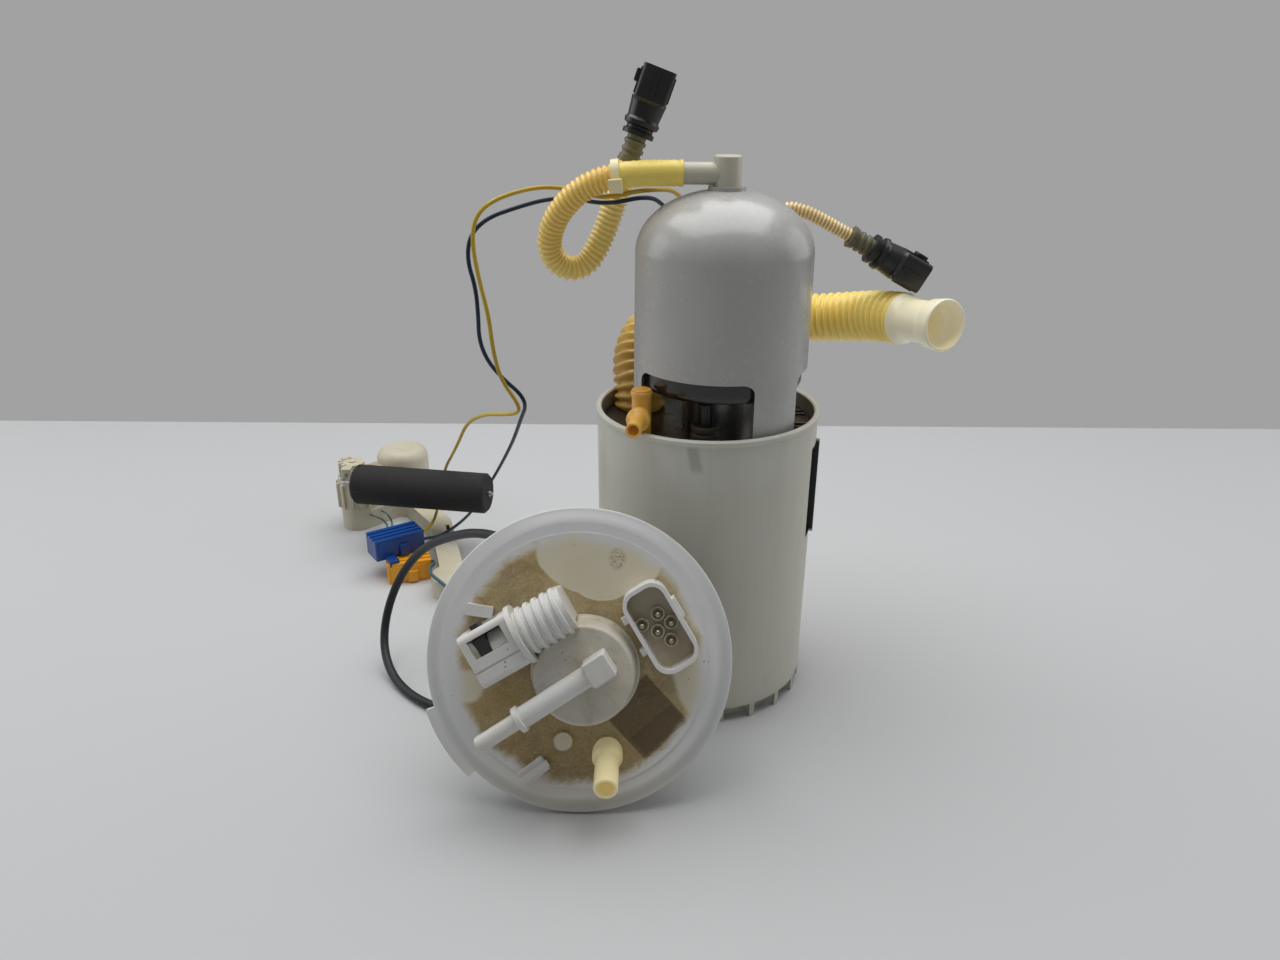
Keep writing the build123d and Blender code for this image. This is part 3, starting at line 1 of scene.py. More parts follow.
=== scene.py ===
"""In-tank fuel pump module, dressed: mouldings, ribbed hoses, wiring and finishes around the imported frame.

Metres, +Z up. Routes and sizes of pieces are written in millimetres and turned into metres by mm().
"""

import json
import logging
import math
from dataclasses import dataclass
from enum import Enum
from functools import cache
from typing import Callable, Sequence

import bmesh
import bpy
from mathutils import Euler, Matrix, Vector

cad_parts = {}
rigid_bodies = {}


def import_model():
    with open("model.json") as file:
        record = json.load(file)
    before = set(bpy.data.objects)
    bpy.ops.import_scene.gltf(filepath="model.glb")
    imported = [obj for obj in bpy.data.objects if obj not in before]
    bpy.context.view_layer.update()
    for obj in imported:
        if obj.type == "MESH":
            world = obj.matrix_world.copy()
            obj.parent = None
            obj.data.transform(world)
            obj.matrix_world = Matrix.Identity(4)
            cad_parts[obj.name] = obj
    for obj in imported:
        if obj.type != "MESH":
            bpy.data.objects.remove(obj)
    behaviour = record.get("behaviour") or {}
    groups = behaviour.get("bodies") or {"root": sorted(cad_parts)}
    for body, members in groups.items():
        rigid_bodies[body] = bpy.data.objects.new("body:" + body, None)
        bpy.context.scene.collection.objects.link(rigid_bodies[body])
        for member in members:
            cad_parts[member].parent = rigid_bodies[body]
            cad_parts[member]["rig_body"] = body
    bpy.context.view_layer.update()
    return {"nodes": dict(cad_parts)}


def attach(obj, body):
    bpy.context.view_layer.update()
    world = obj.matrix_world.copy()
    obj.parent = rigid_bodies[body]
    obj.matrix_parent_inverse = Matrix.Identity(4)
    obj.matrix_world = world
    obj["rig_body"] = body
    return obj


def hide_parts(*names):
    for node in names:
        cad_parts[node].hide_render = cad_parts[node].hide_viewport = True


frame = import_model()

log = logging.getLogger("pump_module")
MODULE = "module"

Colour = tuple[float, float, float]
Point = tuple[float, float, float]
Span = tuple[float, float]


def mm(*values: float) -> Vector | float:
    """Millimetres as metres: one number, or a point of three."""
    return values[0] / 1000 if len(values) == 1 else Vector(values) / 1000


# ---------------------------------------------------------------- shader sheets


class Value:
    """A number that varies over a surface; sums on it add Math nodes."""

    def __init__(self, sheet: "Sheet", socket: bpy.types.NodeSocket) -> None:
        """Wraps an output socket of a sheet."""
        self.sheet = sheet
        self.socket = socket

    def math(self, operation: str, first: object, second: object) -> "Value":
        """Adds one Math node.

        Args:
            operation: The Math node's operation.
            first: Upper input, a number or a Value.
            second: Lower input, a number or a Value.

        Returns:
            The result as a Value.
        """
        node = self.sheet.add("ShaderNodeMath", {"operation": operation}, {0: first, 1: second})
        return Value(self.sheet, node.outputs[0])

    def __add__(self, other: object) -> "Value":
        """Sum."""
        return self.math("ADD", self, other)

    __radd__ = __add__

    def __sub__(self, other: object) -> "Value":
        """Difference."""
        return self.math("SUBTRACT", self, other)

    def __rsub__(self, other: object) -> "Value":
        """Difference from a number."""
        return self.math("SUBTRACT", other, self)

    def __mul__(self, other: object) -> "Value":
        """Product."""
        return self.math("MULTIPLY", self, other)

    __rmul__ = __mul__

    def __pow__(self, other: object) -> "Value":
        """Power."""
        return self.math("POWER", self, other)

    def most(self, other: object) -> "Value":
        """Larger of two."""
        return self.math("MAXIMUM", self, other)

    def least(self, other: object) -> "Value":
        """Smaller of two."""
        return self.math("MINIMUM", self, other)

    def size(self) -> "Value":
        """Value without its sign."""
        return self.math("ABSOLUTE", self, 0.0)

    def between(self, low: float, high: float) -> "Value":
        """Smooth step from 0 at low to 1 at high.

        Args:
            low: Value that gives 0.
            high: Value that gives 1; below low, the step falls.

        Returns:
            The step as a Value.
        """
        node = self.sheet.add(
            "ShaderNodeMapRange",
            {"interpolation_type": "SMOOTHSTEP", "clamp": True},
            {"Value": self, "From Min": low, "From Max": high},
        )
        return Value(self.sheet, node.outputs[0])


class Blend(Enum):
    """How one colour lies over another."""

    OVER = "MIX"
    MULTIPLY = "MULTIPLY"


class Sheet:
    """Node sheet of one material with a Principled shader."""

    def __init__(self, name: str) -> None:
        """Starts an empty sheet.

        Args:
            name: The material's name.
        """
        self.material = bpy.data.materials.new(name)
        self.material.use_nodes = True
        self.nodes = self.material.node_tree.nodes
        self.links = self.material.node_tree.links
        self.nodes.clear()
        self.shader = self.add("ShaderNodeBsdfPrincipled")
        self.add("ShaderNodeOutputMaterial", None, {"Surface": self.shader.outputs[0]})
        self.object_place = self.add("ShaderNodeTexCoord").outputs["Object"]

    def add(self, kind: str, settings: dict | None = None, values: dict | None = None) -> bpy.types.Node:
        """Adds a node.

        Args:
            kind: The node's type.
            settings: Properties that are set first.
            values: Values or links of its input sockets, by name or place.

        Returns:
            The node.
        """
        node = self.nodes.new(kind)
        for name, setting in (settings or {}).items():
            setattr(node, name, setting)
        for key, value in (values or {}).items():
            self.feed(node.inputs[key], value)
        return node

    def feed(self, socket: bpy.types.NodeSocket, value: object) -> None:
        """Links a Value or socket into an input, or writes a constant there.

        Args:
            socket: The input.
            value: A Value, an output socket or a constant.
        """
        if isinstance(value, Value):
            self.links.new(value.socket, socket)
        elif isinstance(value, bpy.types.NodeSocket):
            self.links.new(value, socket)
        elif isinstance(value, tuple) and len(value) == 3 and socket.type == "RGBA":
            socket.default_value = (*value, 1.0)
        else:
            socket.default_value = value

    def turned_place(self, origin: Vector, turn: Euler, stretch: Point = (1, 1, 1)) -> bpy.types.NodeSocket:
        """Object coordinates in a turned frame.

        Args:
            origin: The frame's origin.
            turn: The frame's turn.
            stretch: Size of one unit along each of its axes.

        Returns:
            The vector socket.
        """
        node = self.add(
            "ShaderNodeMapping",
            {"vector_type": "TEXTURE"},
            {"Vector": self.object_place, "Location": origin, "Rotation": turn, "Scale": stretch},
        )
        return node.outputs[0]

    def split(self, place: bpy.types.NodeSocket) -> tuple[Value, Value, Value]:
        """The three coordinates of a vector socket."""
        node = self.add("ShaderNodeSeparateXYZ", None, {0: place})
        return Value(self, node.outputs[0]), Value(self, node.outputs[1]), Value(self, node.outputs[2])

    def noise(
        self, scale: float, detail: float = 4, rough: float = 0.6, place: object = None, warp: float = 0.0
    ) -> Value:
        """Cloudy noise from 0 to 1.

        Args:
            scale: Lumps per metre.
            detail: Octaves.
            rough: Weight of the finer octaves.
            place: Vector socket, or None for object coordinates.
            warp: Distortion.

        Returns:
            The noise as a Value.
        """
        values = {
            "Vector": place or self.object_place,
            "Scale": scale,
            "Detail": detail,
            "Roughness": rough,
            "Distortion": warp,
        }
        return Value(self, self.add("ShaderNodeTexNoise", None, values).outputs[0])

    def cells(self, scale: float, place: object = None) -> Value:
        """Distance from the middles of scattered cells."""
        values = {"Vector": place or self.object_place, "Scale": scale}
        return Value(self, self.add("ShaderNodeTexVoronoi", None, values).outputs["Distance"])

    def attribute(self, name: str) -> Value:
        """A number stored on the mesh."""
        node = self.add("ShaderNodeAttribute", {"attribute_name": name})
        return Value(self, node.outputs["Fac"])

    def mix(
        self, share: object, under: object, over: object, blend: Blend = Blend.OVER
    ) -> bpy.types.NodeSocket:
        """Lays one colour over another.

        Args:
            share: How much of the upper colour shows.
            under: Lower colour.
            over: Upper colour.
            blend: How they meet.

        Returns:
            The colour socket.
        """
        settings = {"data_type": "RGBA", "blend_type": blend.value}
        node = self.add("ShaderNodeMix", settings, {0: share, 6: under, 7: over})
        return node.outputs[2]

    def relief(self, height: Value, depth: float, under: object = None) -> bpy.types.NodeSocket:
        """Bump of a depth in metres, on top of another normal."""
        values = {"Height": height, "Distance": depth, "Strength": 1.0}
        if under is not None:
            values["Normal"] = under
        return self.add("ShaderNodeBump", None, values).outputs[0]

    def surface(self, **inputs: object) -> bpy.types.Material:
        """Feeds the Principled shader and hands over the material.

        Args:
            **inputs: Values by input name, underscores for spaces.

        Returns:
            The material.
        """
        for name, value in inputs.items():
            self.feed(self.shader.inputs[name.replace("_", " ").title().replace("Ior", "IOR")], value)
        return self.material


# ---------------------------------------------------------------- finishes


@dataclass(frozen=True)
class Moulding:
    """Moulded plastic: tone that drifts, fine grain, scuffs, settled grime, black specks and, on translucent
    mouldings, a painted glow.
    """

    name: str
    tone: Colour
    drift: Colour
    rough: float = 0.38
    swing: float = 0.16
    grain_depth: float = 0.00006
    wave_depth: float = 0.0004
    glow: float = 0.0
    painted_glow: float = 0.0
    gloss_coat: float = 0.0
    grime: Colour = (0.2, 0.15, 0.08)
    grime_share: float = 0.0
    speck_share: float = 0.0

    @cache
    def material(self) -> bpy.types.Material:
        """Builds the material once."""
        sheet = Sheet(self.name)
        broad = sheet.noise(22, 3, 0.55, None, 0.4)
        fine = sheet.noise(420, 5, 0.65)
        scuffs = sheet.noise(160, 6, 0.7, None, 1.6).between(0.56, 0.72)
        colour = sheet.mix(broad.between(0.3, 0.72), self.tone, self.drift)
        colour = sheet.mix(fine * 0.16, colour, tuple(0.72 * c for c in self.tone))
        if self.grime_share:
            patch = sheet.noise(34, 7, 0.68, None, 0.8).between(0.62 - 0.25 * self.grime_share, 0.8)
            dust = sheet.noise(700, 4, 0.7).between(0.35, 0.7)
            colour = sheet.mix(patch * (0.35 + 0.65 * dust) * (0.9 * self.grime_share), colour, self.grime)
        if self.speck_share:
            dots = sheet.cells(330).between(0.17, 0.1) * sheet.noise(75, 3, 0.5).between(0.6, 0.7)
            colour = sheet.mix(dots * self.speck_share, colour, (0.02, 0.017, 0.012))
        rough = self.rough + self.swing * (broad - 0.5) + 0.1 * scuffs
        wave = sheet.relief(sheet.noise(45, 2, 0.5), self.wave_depth)
        grain = sheet.relief(fine + 0.5 * scuffs, self.grain_depth, wave)
        return sheet.surface(
            base_color=colour,
            roughness=rough,
            normal=grain,
            subsurface_weight=self.glow,
            subsurface_radius=Vector((0.004, 0.003, 0.002)),
            # Painted glow: the surface gives off its own colour, so that it looks lit from within.
            emission_color=colour,
            emission_strength=self.painted_glow,
            coat_weight=self.gloss_coat,
            coat_roughness=0.2,
        )


@dataclass(frozen=True)
class CupFinish:
    """Off-white swirl pot: upright flow marks, a darker upright streak, painted shade inside the cup and
    painted shade on the faces of its side slot, in metres.
    """

    name: str = "cup_wall"
    tone: Colour = (0.64, 0.64, 0.565)
    olive: Colour = (0.58, 0.57, 0.475)
    smoke: Colour = (0.2, 0.2, 0.17)
    warm: Colour = (0.62, 0.59, 0.47)
    darkened: Colour = (0.075, 0.055, 0.035)
    slot_shade: Colour = (0.01, 0.013, 0.014)
    under_lip: Span = (0.148, 0.13)
    front: Span = (0.02, 0.05)
    streak_place: Span = (-0.0095, 0.155)
    streak_lean: float = 0.2
    streak_half: Span = (0.0042, 0.0015)
    streak_low: Span = (0.147, 0.151)
    streak_high: Span = (0.163, 0.16)
    warm_x: float = -0.03
    warm_half: float = 0.03
    warm_levels: Span = (0.15, 0.1)
    foot: Span = (0.014, 0.004)
    inner: Span = (0.0573, 0.0567)
    floor: Span = (0.02, 0.03)
    slot_azimuth: float = 71.5
    slot_near: Span = (-0.0064, -0.0062)
    slot_far: Span = (0.0069, 0.0067)
    slot_out: Span = (0.05, 0.052)
    slot_low: Span = (0.0955, 0.097)
    slot_high: Span = (0.1495, 0.148)

    def slot(self, sheet: Sheet, level: Value) -> Value:
        """Faces of the side slot, 1 on them.

        Args:
            sheet: The node sheet.
            level: Height above the foot.

        Returns:
            The slot as a Value.
        """
        turn = Euler((0, 0, math.radians(self.slot_azimuth)))
        beside, out, _ = sheet.split(sheet.turned_place(Vector(), turn))
        faces = beside.between(*self.slot_near) * beside.between(*self.slot_far)
        faces = faces * (out * -1.0).between(*self.slot_out)
        return faces * level.between(*self.slot_low) * level.between(*self.slot_high)

    @cache
    def material(self) -> bpy.types.Material:
        """Builds the material once."""
        sheet = Sheet(self.name)
        x, y, z = sheet.split(sheet.object_place)
        upright = sheet.turned_place(Vector(), Euler(), (1, 1, 9))
        flow = sheet.noise(60, 5, 0.6, upright, 0.3)
        broad = sheet.noise(16, 3, 0.5, None, 0.5)
        fine = sheet.noise(500, 4, 0.6)
        colour = sheet.mix((flow * 0.6 + broad * 0.5).between(0.35, 0.8), self.tone, self.olive)
        colour = sheet.mix(z.between(*self.under_lip) * (0.35 + 0.3 * broad), colour, self.olive)
        front = (y * -1.0).between(*self.front)
        # A darker upright streak across the front of the wall.
        aside = x - self.streak_place[0] + self.streak_lean * (z - self.streak_place[1])
        dark_mark = aside.size().between(*self.streak_half) * z.between(*self.streak_low)
        dark_mark = dark_mark * z.between(*self.streak_high) * front
        colour = sheet.mix(dark_mark * 0.4, colour, self.smoke)
        low = (x - self.warm_x).size().between(self.warm_half, 0.0) * z.between(*self.warm_levels) * front
        colour = sheet.mix(low * 0.5, colour, self.warm)
        colour = sheet.mix(z.between(*self.foot) * 0.4 * fine, colour, self.smoke)
        # Painted shade: the inside wall of the cup above its floor is painted dark brown.
        across = (x ** 2.0 + y ** 2.0) ** 0.5
        inside = across.between(*self.inner) * z.between(*self.floor)
        colour = sheet.mix(inside * (0.8 + 0.2 * flow), colour, self.darkened)
        # Painted shade: the faces of the side slot are painted near-black, standing for the dark inside seen
        # through it.
        colour = sheet.mix(self.slot(sheet, z) * 0.97, colour, self.slot_shade)
        rough = 0.33 + 0.2 * (flow - 0.5) + 0.08 * fine
        wave = sheet.relief(flow, 0.0005)
        grain = sheet.relief(fine, 0.00005, wave)
        return sheet.surface(
            base_color=colour,
            roughness=rough,
            normal=grain,
            subsurface_weight=0.15,
            subsurface_radius=Vector((0.004, 0.004, 0.003)),
        )


@dataclass(frozen=True)
class Patch:
    """Place on the flange's face: middle and half sizes in millimetres, turn in degrees.

    Edge is the share of its size over which it fades, and ragged how uneven that edge is. A square
    patch has straight sides, any other is an oval.
    """

    middle: Span
    half: Span
    turn: float
    edge: float
    ragged: float = 0.7
    square: bool = False


WIPED = (
    Patch((9, 50), (30, 19), -8, 0.06, 0.16),
    Patch((11, 35), (12, 6), 0, 0.12, 0.2),
    Patch((55, -10), (9, 21), 18, 0.3, 0.4),
    Patch((-54, -13), (8, 8), 0, 0.4, 0.5),
    Patch((-31, 39), (5, 2.6), 20, 0.4, 0.5),
    Patch((-7.5, -38.7), (4.6, 4.4), 0, 0.35, 0.5),
)
WIPED_SIDES = Patch((26, 40), (46, 40), 8, 0.02, 0.03, True)
CAKED = Patch((32, -27), (15, 14), -47, 0.04, 0.06, True)
CAKED_BAR = Patch((38, -33), (12.5, 5.5), 40, 0.04, 0.05, True)
SMUDGE = Patch((18, 49), (4, 5), 0, 0.6)


@dataclass(frozen=True)
class SettledDirt:
    """Flange face: white moulding under a brown film of road dirt, with wiped and caked places."""

    name: str
    origin: Vector
    turn: Euler
    reach: float
    rim: float
    white: Colour = (0.72, 0.72, 0.71)
    cream: Colour = (0.72, 0.65, 0.46)
    tan: Colour = (0.48, 0.38, 0.2)
    umber: Colour = (0.22, 0.155, 0.075)
    ochre: Colour = (0.4, 0.28, 0.1)
    caked: Colour = (0.1, 0.07, 0.035)
    fade: float = 0.006
    rim_width: float = 0.008
    face_low: Span = (-0.0016, -0.0002)
    face_high: Span = (0.0026, 0.0019)

    def spot(self, sheet: Sheet, patch: Patch) -> Value:
        """Patch on the face, 1 inside.

        Args:
            sheet: The node sheet.
            patch: Its place, size and edge.

        Returns:
            The patch as a Value.
        """
        basis = self.turn.to_matrix()
        place = self.origin + basis @ mm(*patch.middle, 0.0)
        turned = (basis @ Matrix.Rotation(math.radians(patch.turn), 3, "Z")).to_euler()
        u, v, _ = sheet.split(sheet.turned_place(place, turned, (*map(mm, patch.half), 1)))
        uneven = (sheet.noise(90, 6, 0.7) - 0.5) * patch.ragged
        reach = u.size().most(v.size()) if patch.square else u ** 2.0 + v ** 2.0
        return (reach + uneven).between(1.0 + patch.edge, 1.0 - patch.edge)

    @cache
    def material(self) -> bpy.types.Material:
        """Builds the material once."""
        sheet = Sheet(self.name)
        u, v, w = sheet.split(sheet.turned_place(self.origin, self.turn))
        radius = (u ** 2.0 + v ** 2.0) ** 0.5
        ragged = (sheet.noise(70, 6, 0.7, None, 0.6) - 0.5) * 0.012
        fine = sheet.noise(900, 5, 0.7)
        grit = sheet.noise(2200, 3, 0.6)
        broad = sheet.noise(30, 5, 0.65, None, 0.5)
        face = w.between(*self.face_low) * w.between(*self.face_high)
        inside = (radius + ragged).between(self.reach, self.reach - self.fade) * face
        wiped = self.spot(sheet, WIPED[0])
        for patch in WIPED[1:]:
            wiped = wiped.most(self.spot(sheet, patch))
        wiped = wiped * self.spot(sheet, WIPED_SIDES).most(v.between(0.03, 0.02))
        film = inside * (1.0 - 0.93 * wiped)
        dust = sheet.mix(broad.between(0.35, 0.7) * 0.8, self.tan, self.ochre)
        dust = sheet.mix(v.between(-0.005, -0.05) * 0.75, dust, self.ochre)
        dust = sheet.mix(v.between(-0.03, -0.062) * 0.65, dust, self.umber)
        dust = sheet.mix(sheet.noise(48, 6, 0.7, None, 0.8).between(0.5, 0.66) * 0.5, dust, self.umber)
        dust = sheet.mix(fine.between(0.52, 0.72) * 0.45, dust, self.umber)
        dust = sheet.mix(grit.between(0.62, 0.74) * 0.4, dust, self.caked)
        white = sheet.mix(inside * (0.55 + 0.5 * broad), self.white, self.cream)
        white = sheet.mix(v.between(-0.035, -0.075) * 0.4, white, self.cream)
        cover = (0.72 + 0.28 * fine.between(0.3, 0.55)) * (0.86 + 0.2 * broad).least(1.0)
        colour = sheet.mix(film * cover, white, dust)
        caked = self.spot(sheet, CAKED) * inside
        colour = sheet.mix(caked * (0.55 + 0.25 * broad + 0.2 * fine), colour, self.caked)
        bar = self.spot(sheet, CAKED_BAR) * inside
        colour = sheet.mix(bar * 0.5, colour, self.caked)
        dark_mark = self.spot(sheet, SMUDGE) * inside
        colour = sheet.mix(dark_mark * fine.between(0.4, 0.6) * 0.6, colour, self.umber)
        dots = sheet.cells(300).between(0.13, 0.08) * sheet.noise(60, 3, 0.5).between(0.59, 0.66)
        colour = sheet.mix(dots * face * 0.9, colour, (0.012, 0.01, 0.008))
        rough = 0.36 + 0.45 * film + 0.1 * (fine - 0.5)
        crust = sheet.relief(film * (fine + grit), 0.00022)
        rounded = sheet.relief(radius.between(self.rim, self.rim - self.rim_width), 0.0035, crust)
        wave = sheet.relief(sheet.noise(50, 2, 0.5), 0.0003, rounded)
        return sheet.surface(
            base_color=colour,
            roughness=rough,
            normal=wave,
            subsurface_weight=0.08,
            subsurface_radius=Vector((0.003, 0.003, 0.003)),
        )


@dataclass(frozen=True)
class SocketDustAndShade:
    """White socket shroud with brown dust settled in its well, and painted shade that darkens the well
    towards its floor.
    """

    name: str
    place: Vector
    turn: Euler
    half: Point
    white: Colour = (0.76, 0.755, 0.73)
    dust: Colour = (0.42, 0.35, 0.2)
    scuff: Colour = (0.5, 0.45, 0.34)
    wall_fade: float = 0.0008
    floor_fade: float = 0.004

    @cache
    def material(self) -> bpy.types.Material:
        """Builds the material once."""
        sheet = Sheet(self.name)
        u, v, w = sheet.split(sheet.turned_place(self.place, self.turn))
        within = u.size().between(self.half[0], self.half[0] - self.wall_fade)
        within = within * v.size().between(self.half[1], self.half[1] - self.wall_fade)
        broad = sheet.noise(60, 5, 0.6)
        fine = sheet.noise(900, 4, 0.65)
        # Dust settled in the well, and painted shade: the well is painted darker towards its floor.
        deep = w.between(self.half[2], self.half[2] - self.floor_fade)
        well_dust_and_shade = within * deep * (0.6 + 0.5 * broad).least(1.0)
        scuffed = sheet.mix(broad.between(0.55, 0.75) * 0.35, self.white, self.scuff)
        colour = sheet.mix(well_dust_and_shade * (0.75 + 0.25 * fine), scuffed, self.dust)
        grain = sheet.relief(fine, 0.00006)
        return sheet.surface(base_color=colour, roughness=0.34 + 0.4 * well_dust_and_shade, normal=grain)


@dataclass(frozen=True)
class HoseFinish:
    """Ribbed hose: pale crests, valleys painted darker as shade between the ribs, a tint that darkens part of
    its length and a painted glow.
    """

    name: str
    crest: Colour
    valley: Colour
    tint: Colour
    tint_from: float
    tint_to: float
    plain: Colour
    plain_to: float = 0.0
    rough: float = 0.3
    glow: float = 0.25
    painted_glow: float = 0.0

    @cache
    def material(self) -> bpy.types.Material:
        """Builds the material once."""
        sheet = Sheet(self.name)
        swell = sheet.attribute("swell")
        along = sheet.attribute("along")
        broad = sheet.noise(70, 5, 0.6, None, 0.5)
        fine = sheet.noise(800, 4, 0.6)
        # Painted shade: the valleys between the ribs are coloured darker than the crests.
        ribbed = sheet.mix(swell.between(0.1, 0.95), self.valley, self.crest)
        ribbed = sheet.mix(broad.between(0.4, 0.75) * 0.5, ribbed, self.valley)
        # Multiplies the colour darker and warmer towards the start of the hose.
        darkened = along.between(self.tint_from, self.tint_to) * (0.7 + 0.5 * broad).least(1.0)
        ribbed = sheet.mix(darkened, ribbed, self.tint, Blend.MULTIPLY)
        plain = along.between(self.plain_to + 0.001, self.plain_to - 0.001)
        colour = sheet.mix(plain * (0.85 + 0.15 * broad), ribbed, self.plain)
        colour = sheet.mix(fine * 0.12, colour, self.tint, Blend.MULTIPLY)
        rough = self.rough + 0.2 * (broad - 0.5) + 0.06 * fine
        return sheet.surface(
            base_color=colour,
            roughness=rough,
            normal=sheet.relief(fine, 0.00006, sheet.relief(broad, 0.0003)),
            subsurface_weight=self.glow,
            subsurface_radius=Vector((0.004, 0.003, 0.0012)),
            # Painted glow: the hose gives off its own colour, so that it looks lit from within.
            emission_color=colour,
            emission_strength=self.painted_glow,
        )


@dataclass(frozen=True)
class Foam:
    """Closed-cell float foam: matt charcoal with fine cells and faint cut marks."""

    name: str = "float_cells"
    tone: Colour = (0.013, 0.013, 0.0135)

    @cache
    def material(self) -> bpy.types.Material:
        """Builds the material once."""
        sheet = Sheet(self.name)
        cells = sheet.cells(1300)
        broad = sheet.noise(60, 5, 0.6)
        marks = sheet.noise(180, 4, 0.6, sheet.turned_place(Vector(), Euler((0, 0, -0.16)), (7, 1, 1)))
        colour = sheet.mix(broad.between(0.3, 0.75), self.tone, tuple(1.5 * c for c in self.tone))
        colour = sheet.mix(cells.between(0.1, 0.5), tuple(0.6 * c for c in self.tone), colour)
        colour = sheet.mix(marks.between(0.62, 0.75) * 0.3, colour, (0.09, 0.09, 0.088))
        relief = sheet.relief(cells, 0.00018, sheet.relief(marks, 0.0002))
        return sheet.surface(base_color=colour, roughness=0.72 + 0.2 * broad, normal=relief)


@dataclass(frozen=True)
class Metal:
    """Drawn or machined metal with fine lay and handling marks."""

    name: str
    tone: Colour
    rough: float = 0.3

    @cache
    def material(self) -> bpy.types.Material:
        """Builds the material once."""
        sheet = Sheet(self.name)
        lay = sheet.noise(300, 4, 0.6, sheet.turned_place(Vector(), Euler(), (1, 1, 25)))
        blotch = sheet.noise(90, 5, 0.6, None, 0.6)
        colour = sheet.mix(blotch.between(0.35, 0.75), self.tone, tuple(0.62 * c for c in self.tone))
        rough = self.rough + 0.25 * (lay - 0.5) + 0.15 * blotch
        grain = sheet.relief(lay, 0.00005)
        return sheet.surface(base_color=colour, roughness=rough, metallic=1.0, normal=grain)


@dataclass(frozen=True)
class Woven:
    """Woven netting or pleated paper: a fine crossed weave in relief and tone."""

    name: str
    tone: Colour
    gap: Colour
    pitch: float

    @cache
    def material(self) -> bpy.types.Material:
        """Builds the material once."""
        sheet = Sheet(self.name)
        turn = 2 * math.pi / self.pitch
        threads = [part * turn for part in sheet.split(sheet.object_place)]
        waves = [part.math("SINE", part, 0.0).size() for part in threads]
        weave = waves[0].most(waves[1]).least(waves[2].most(waves[0]))
        broad = sheet.noise(60, 4, 0.6)
        colour = sheet.mix(weave.between(0.2, 0.8), self.gap, self.tone)
        colour = sheet.mix(broad * 0.35, colour, self.gap)
        raised = sheet.relief(weave, 0.0002)
        return sheet.surface(base_color=colour, roughness=0.7 + 0.2 * broad, normal=raised)


@dataclass(frozen=True)
class Table:
    """Plain matt table top."""

    name: str = "table_top"
    tone: Colour = (0.545, 0.55, 0.555)

    @cache
    def material(self) -> bpy.types.Material:
        """Builds the material once."""
        sheet = Sheet(self.name)
        broad = sheet.noise(2.5, 3, 0.5)
        fine = sheet.noise(60, 5, 0.6)
        colour = sheet.mix(broad * 0.5, self.tone, tuple(0.96 * c for c in self.tone))
        colour = sheet.mix(fine.between(0.6, 0.8) * 0.1, colour, (0.5, 0.5, 0.5))
        grain = sheet.relief(fine, 0.00005)
        return sheet.surface(base_color=colour, roughness=0.55 + 0.1 * fine, normal=grain)


WHITE = Moulding("white_acetal", (0.74, 0.735, 0.71), (0.66, 0.64, 0.57), 0.33, 0.14, glow=0.08,
                 grime=(0.34, 0.26, 0.15), grime_share=0.45, speck_share=0.9)
CAP_WHITE = Moulding("cap_white", (0.68, 0.66, 0.59), (0.58, 0.53, 0.41), 0.38, 0.16, glow=0.08,
                     grime=(0.28, 0.2, 0.11), grime_share=0.85, speck_share=1.0)
UNDERSIDE = Moulding("underside_white", (0.62, 0.61, 0.56), (0.5, 0.48, 0.4), 0.4, grime_share=0.2)
DOME = Moulding("dome_white", (0.49, 0.486, 0.47), (0.445, 0.436, 0.412), 0.26, 0.08, 0.00003, 0.0003,
                glow=0.1, gloss_coat=0.25, speck_share=0.25)
ELBOW = Moulding("elbow_cream", (0.62, 0.6, 0.5), (0.56, 0.52, 0.4), 0.35, glow=0.15)
TIE = Moulding("tie_nylon", (0.86, 0.8, 0.52), (0.8, 0.7, 0.38), 0.3, glow=0.3, painted_glow=0.06)
BLACK = Moulding("black_moulding", (0.012, 0.012, 0.013), (0.02, 0.02, 0.021), 0.3, 0.2,
                 grime=(0.07, 0.055, 0.035), grime_share=0.35)
DECK_BLACK = Moulding("deck_black", (0.014, 0.013, 0.011), (0.03, 0.024, 0.016), 0.26, 0.3,
                      grime=(0.12, 0.09, 0.05), grime_share=0.8)
BOWL_BLACK = Moulding("bowl_black", (0.009, 0.009, 0.01), (0.013, 0.013, 0.014), 0.12, 0.1,
                      0.00002, 0.0002, gloss_coat=0.4)
REGULATOR_GREY = Moulding("regulator_can", (0.05, 0.045, 0.035), (0.1, 0.085, 0.06), 0.35, 0.25,
                          grime=(0.16, 0.12, 0.07), grime_share=0.6)
AMBER = Moulding("amber_nozzle", (0.85, 0.5, 0.1), (0.66, 0.33, 0.05), 0.28, 0.14, glow=0.3, painted_glow=0.05,
                 grime=(0.3, 0.14, 0.03), grime_share=0.4)
PALE_NIPPLE = Moulding("pale_nipple", (0.9, 0.8, 0.48), (0.84, 0.7, 0.33), 0.3, 0.12, glow=0.35, painted_glow=0.1,
                       grime=(0.24, 0.16, 0.06), grime_share=0.3)
CUFF = Moulding("clear_cuff", (0.95, 0.9, 0.72), (0.92, 0.84, 0.56), 0.22, 0.1, 0.00003, 0.0003,
                glow=0.4, painted_glow=0.09)
STEM = Moulding("stem_olive", (0.24, 0.22, 0.13), (0.13, 0.12, 0.07), 0.38, 0.2,
                grime=(0.05, 0.04, 0.02), grime_share=0.6)
LATCH = Moulding("latch_dark", (0.03, 0.03, 0.032), (0.06, 0.058, 0.055), 0.4, 0.2,
                 grime=(0.16, 0.13, 0.09), grime_share=0.7)
CREAM = Moulding("sender_cream", (0.63, 0.6, 0.49), (0.52, 0.47, 0.33), 0.4, 0.16, glow=0.12,
                 grime=(0.36, 0.28, 0.14), grime_share=0.5)
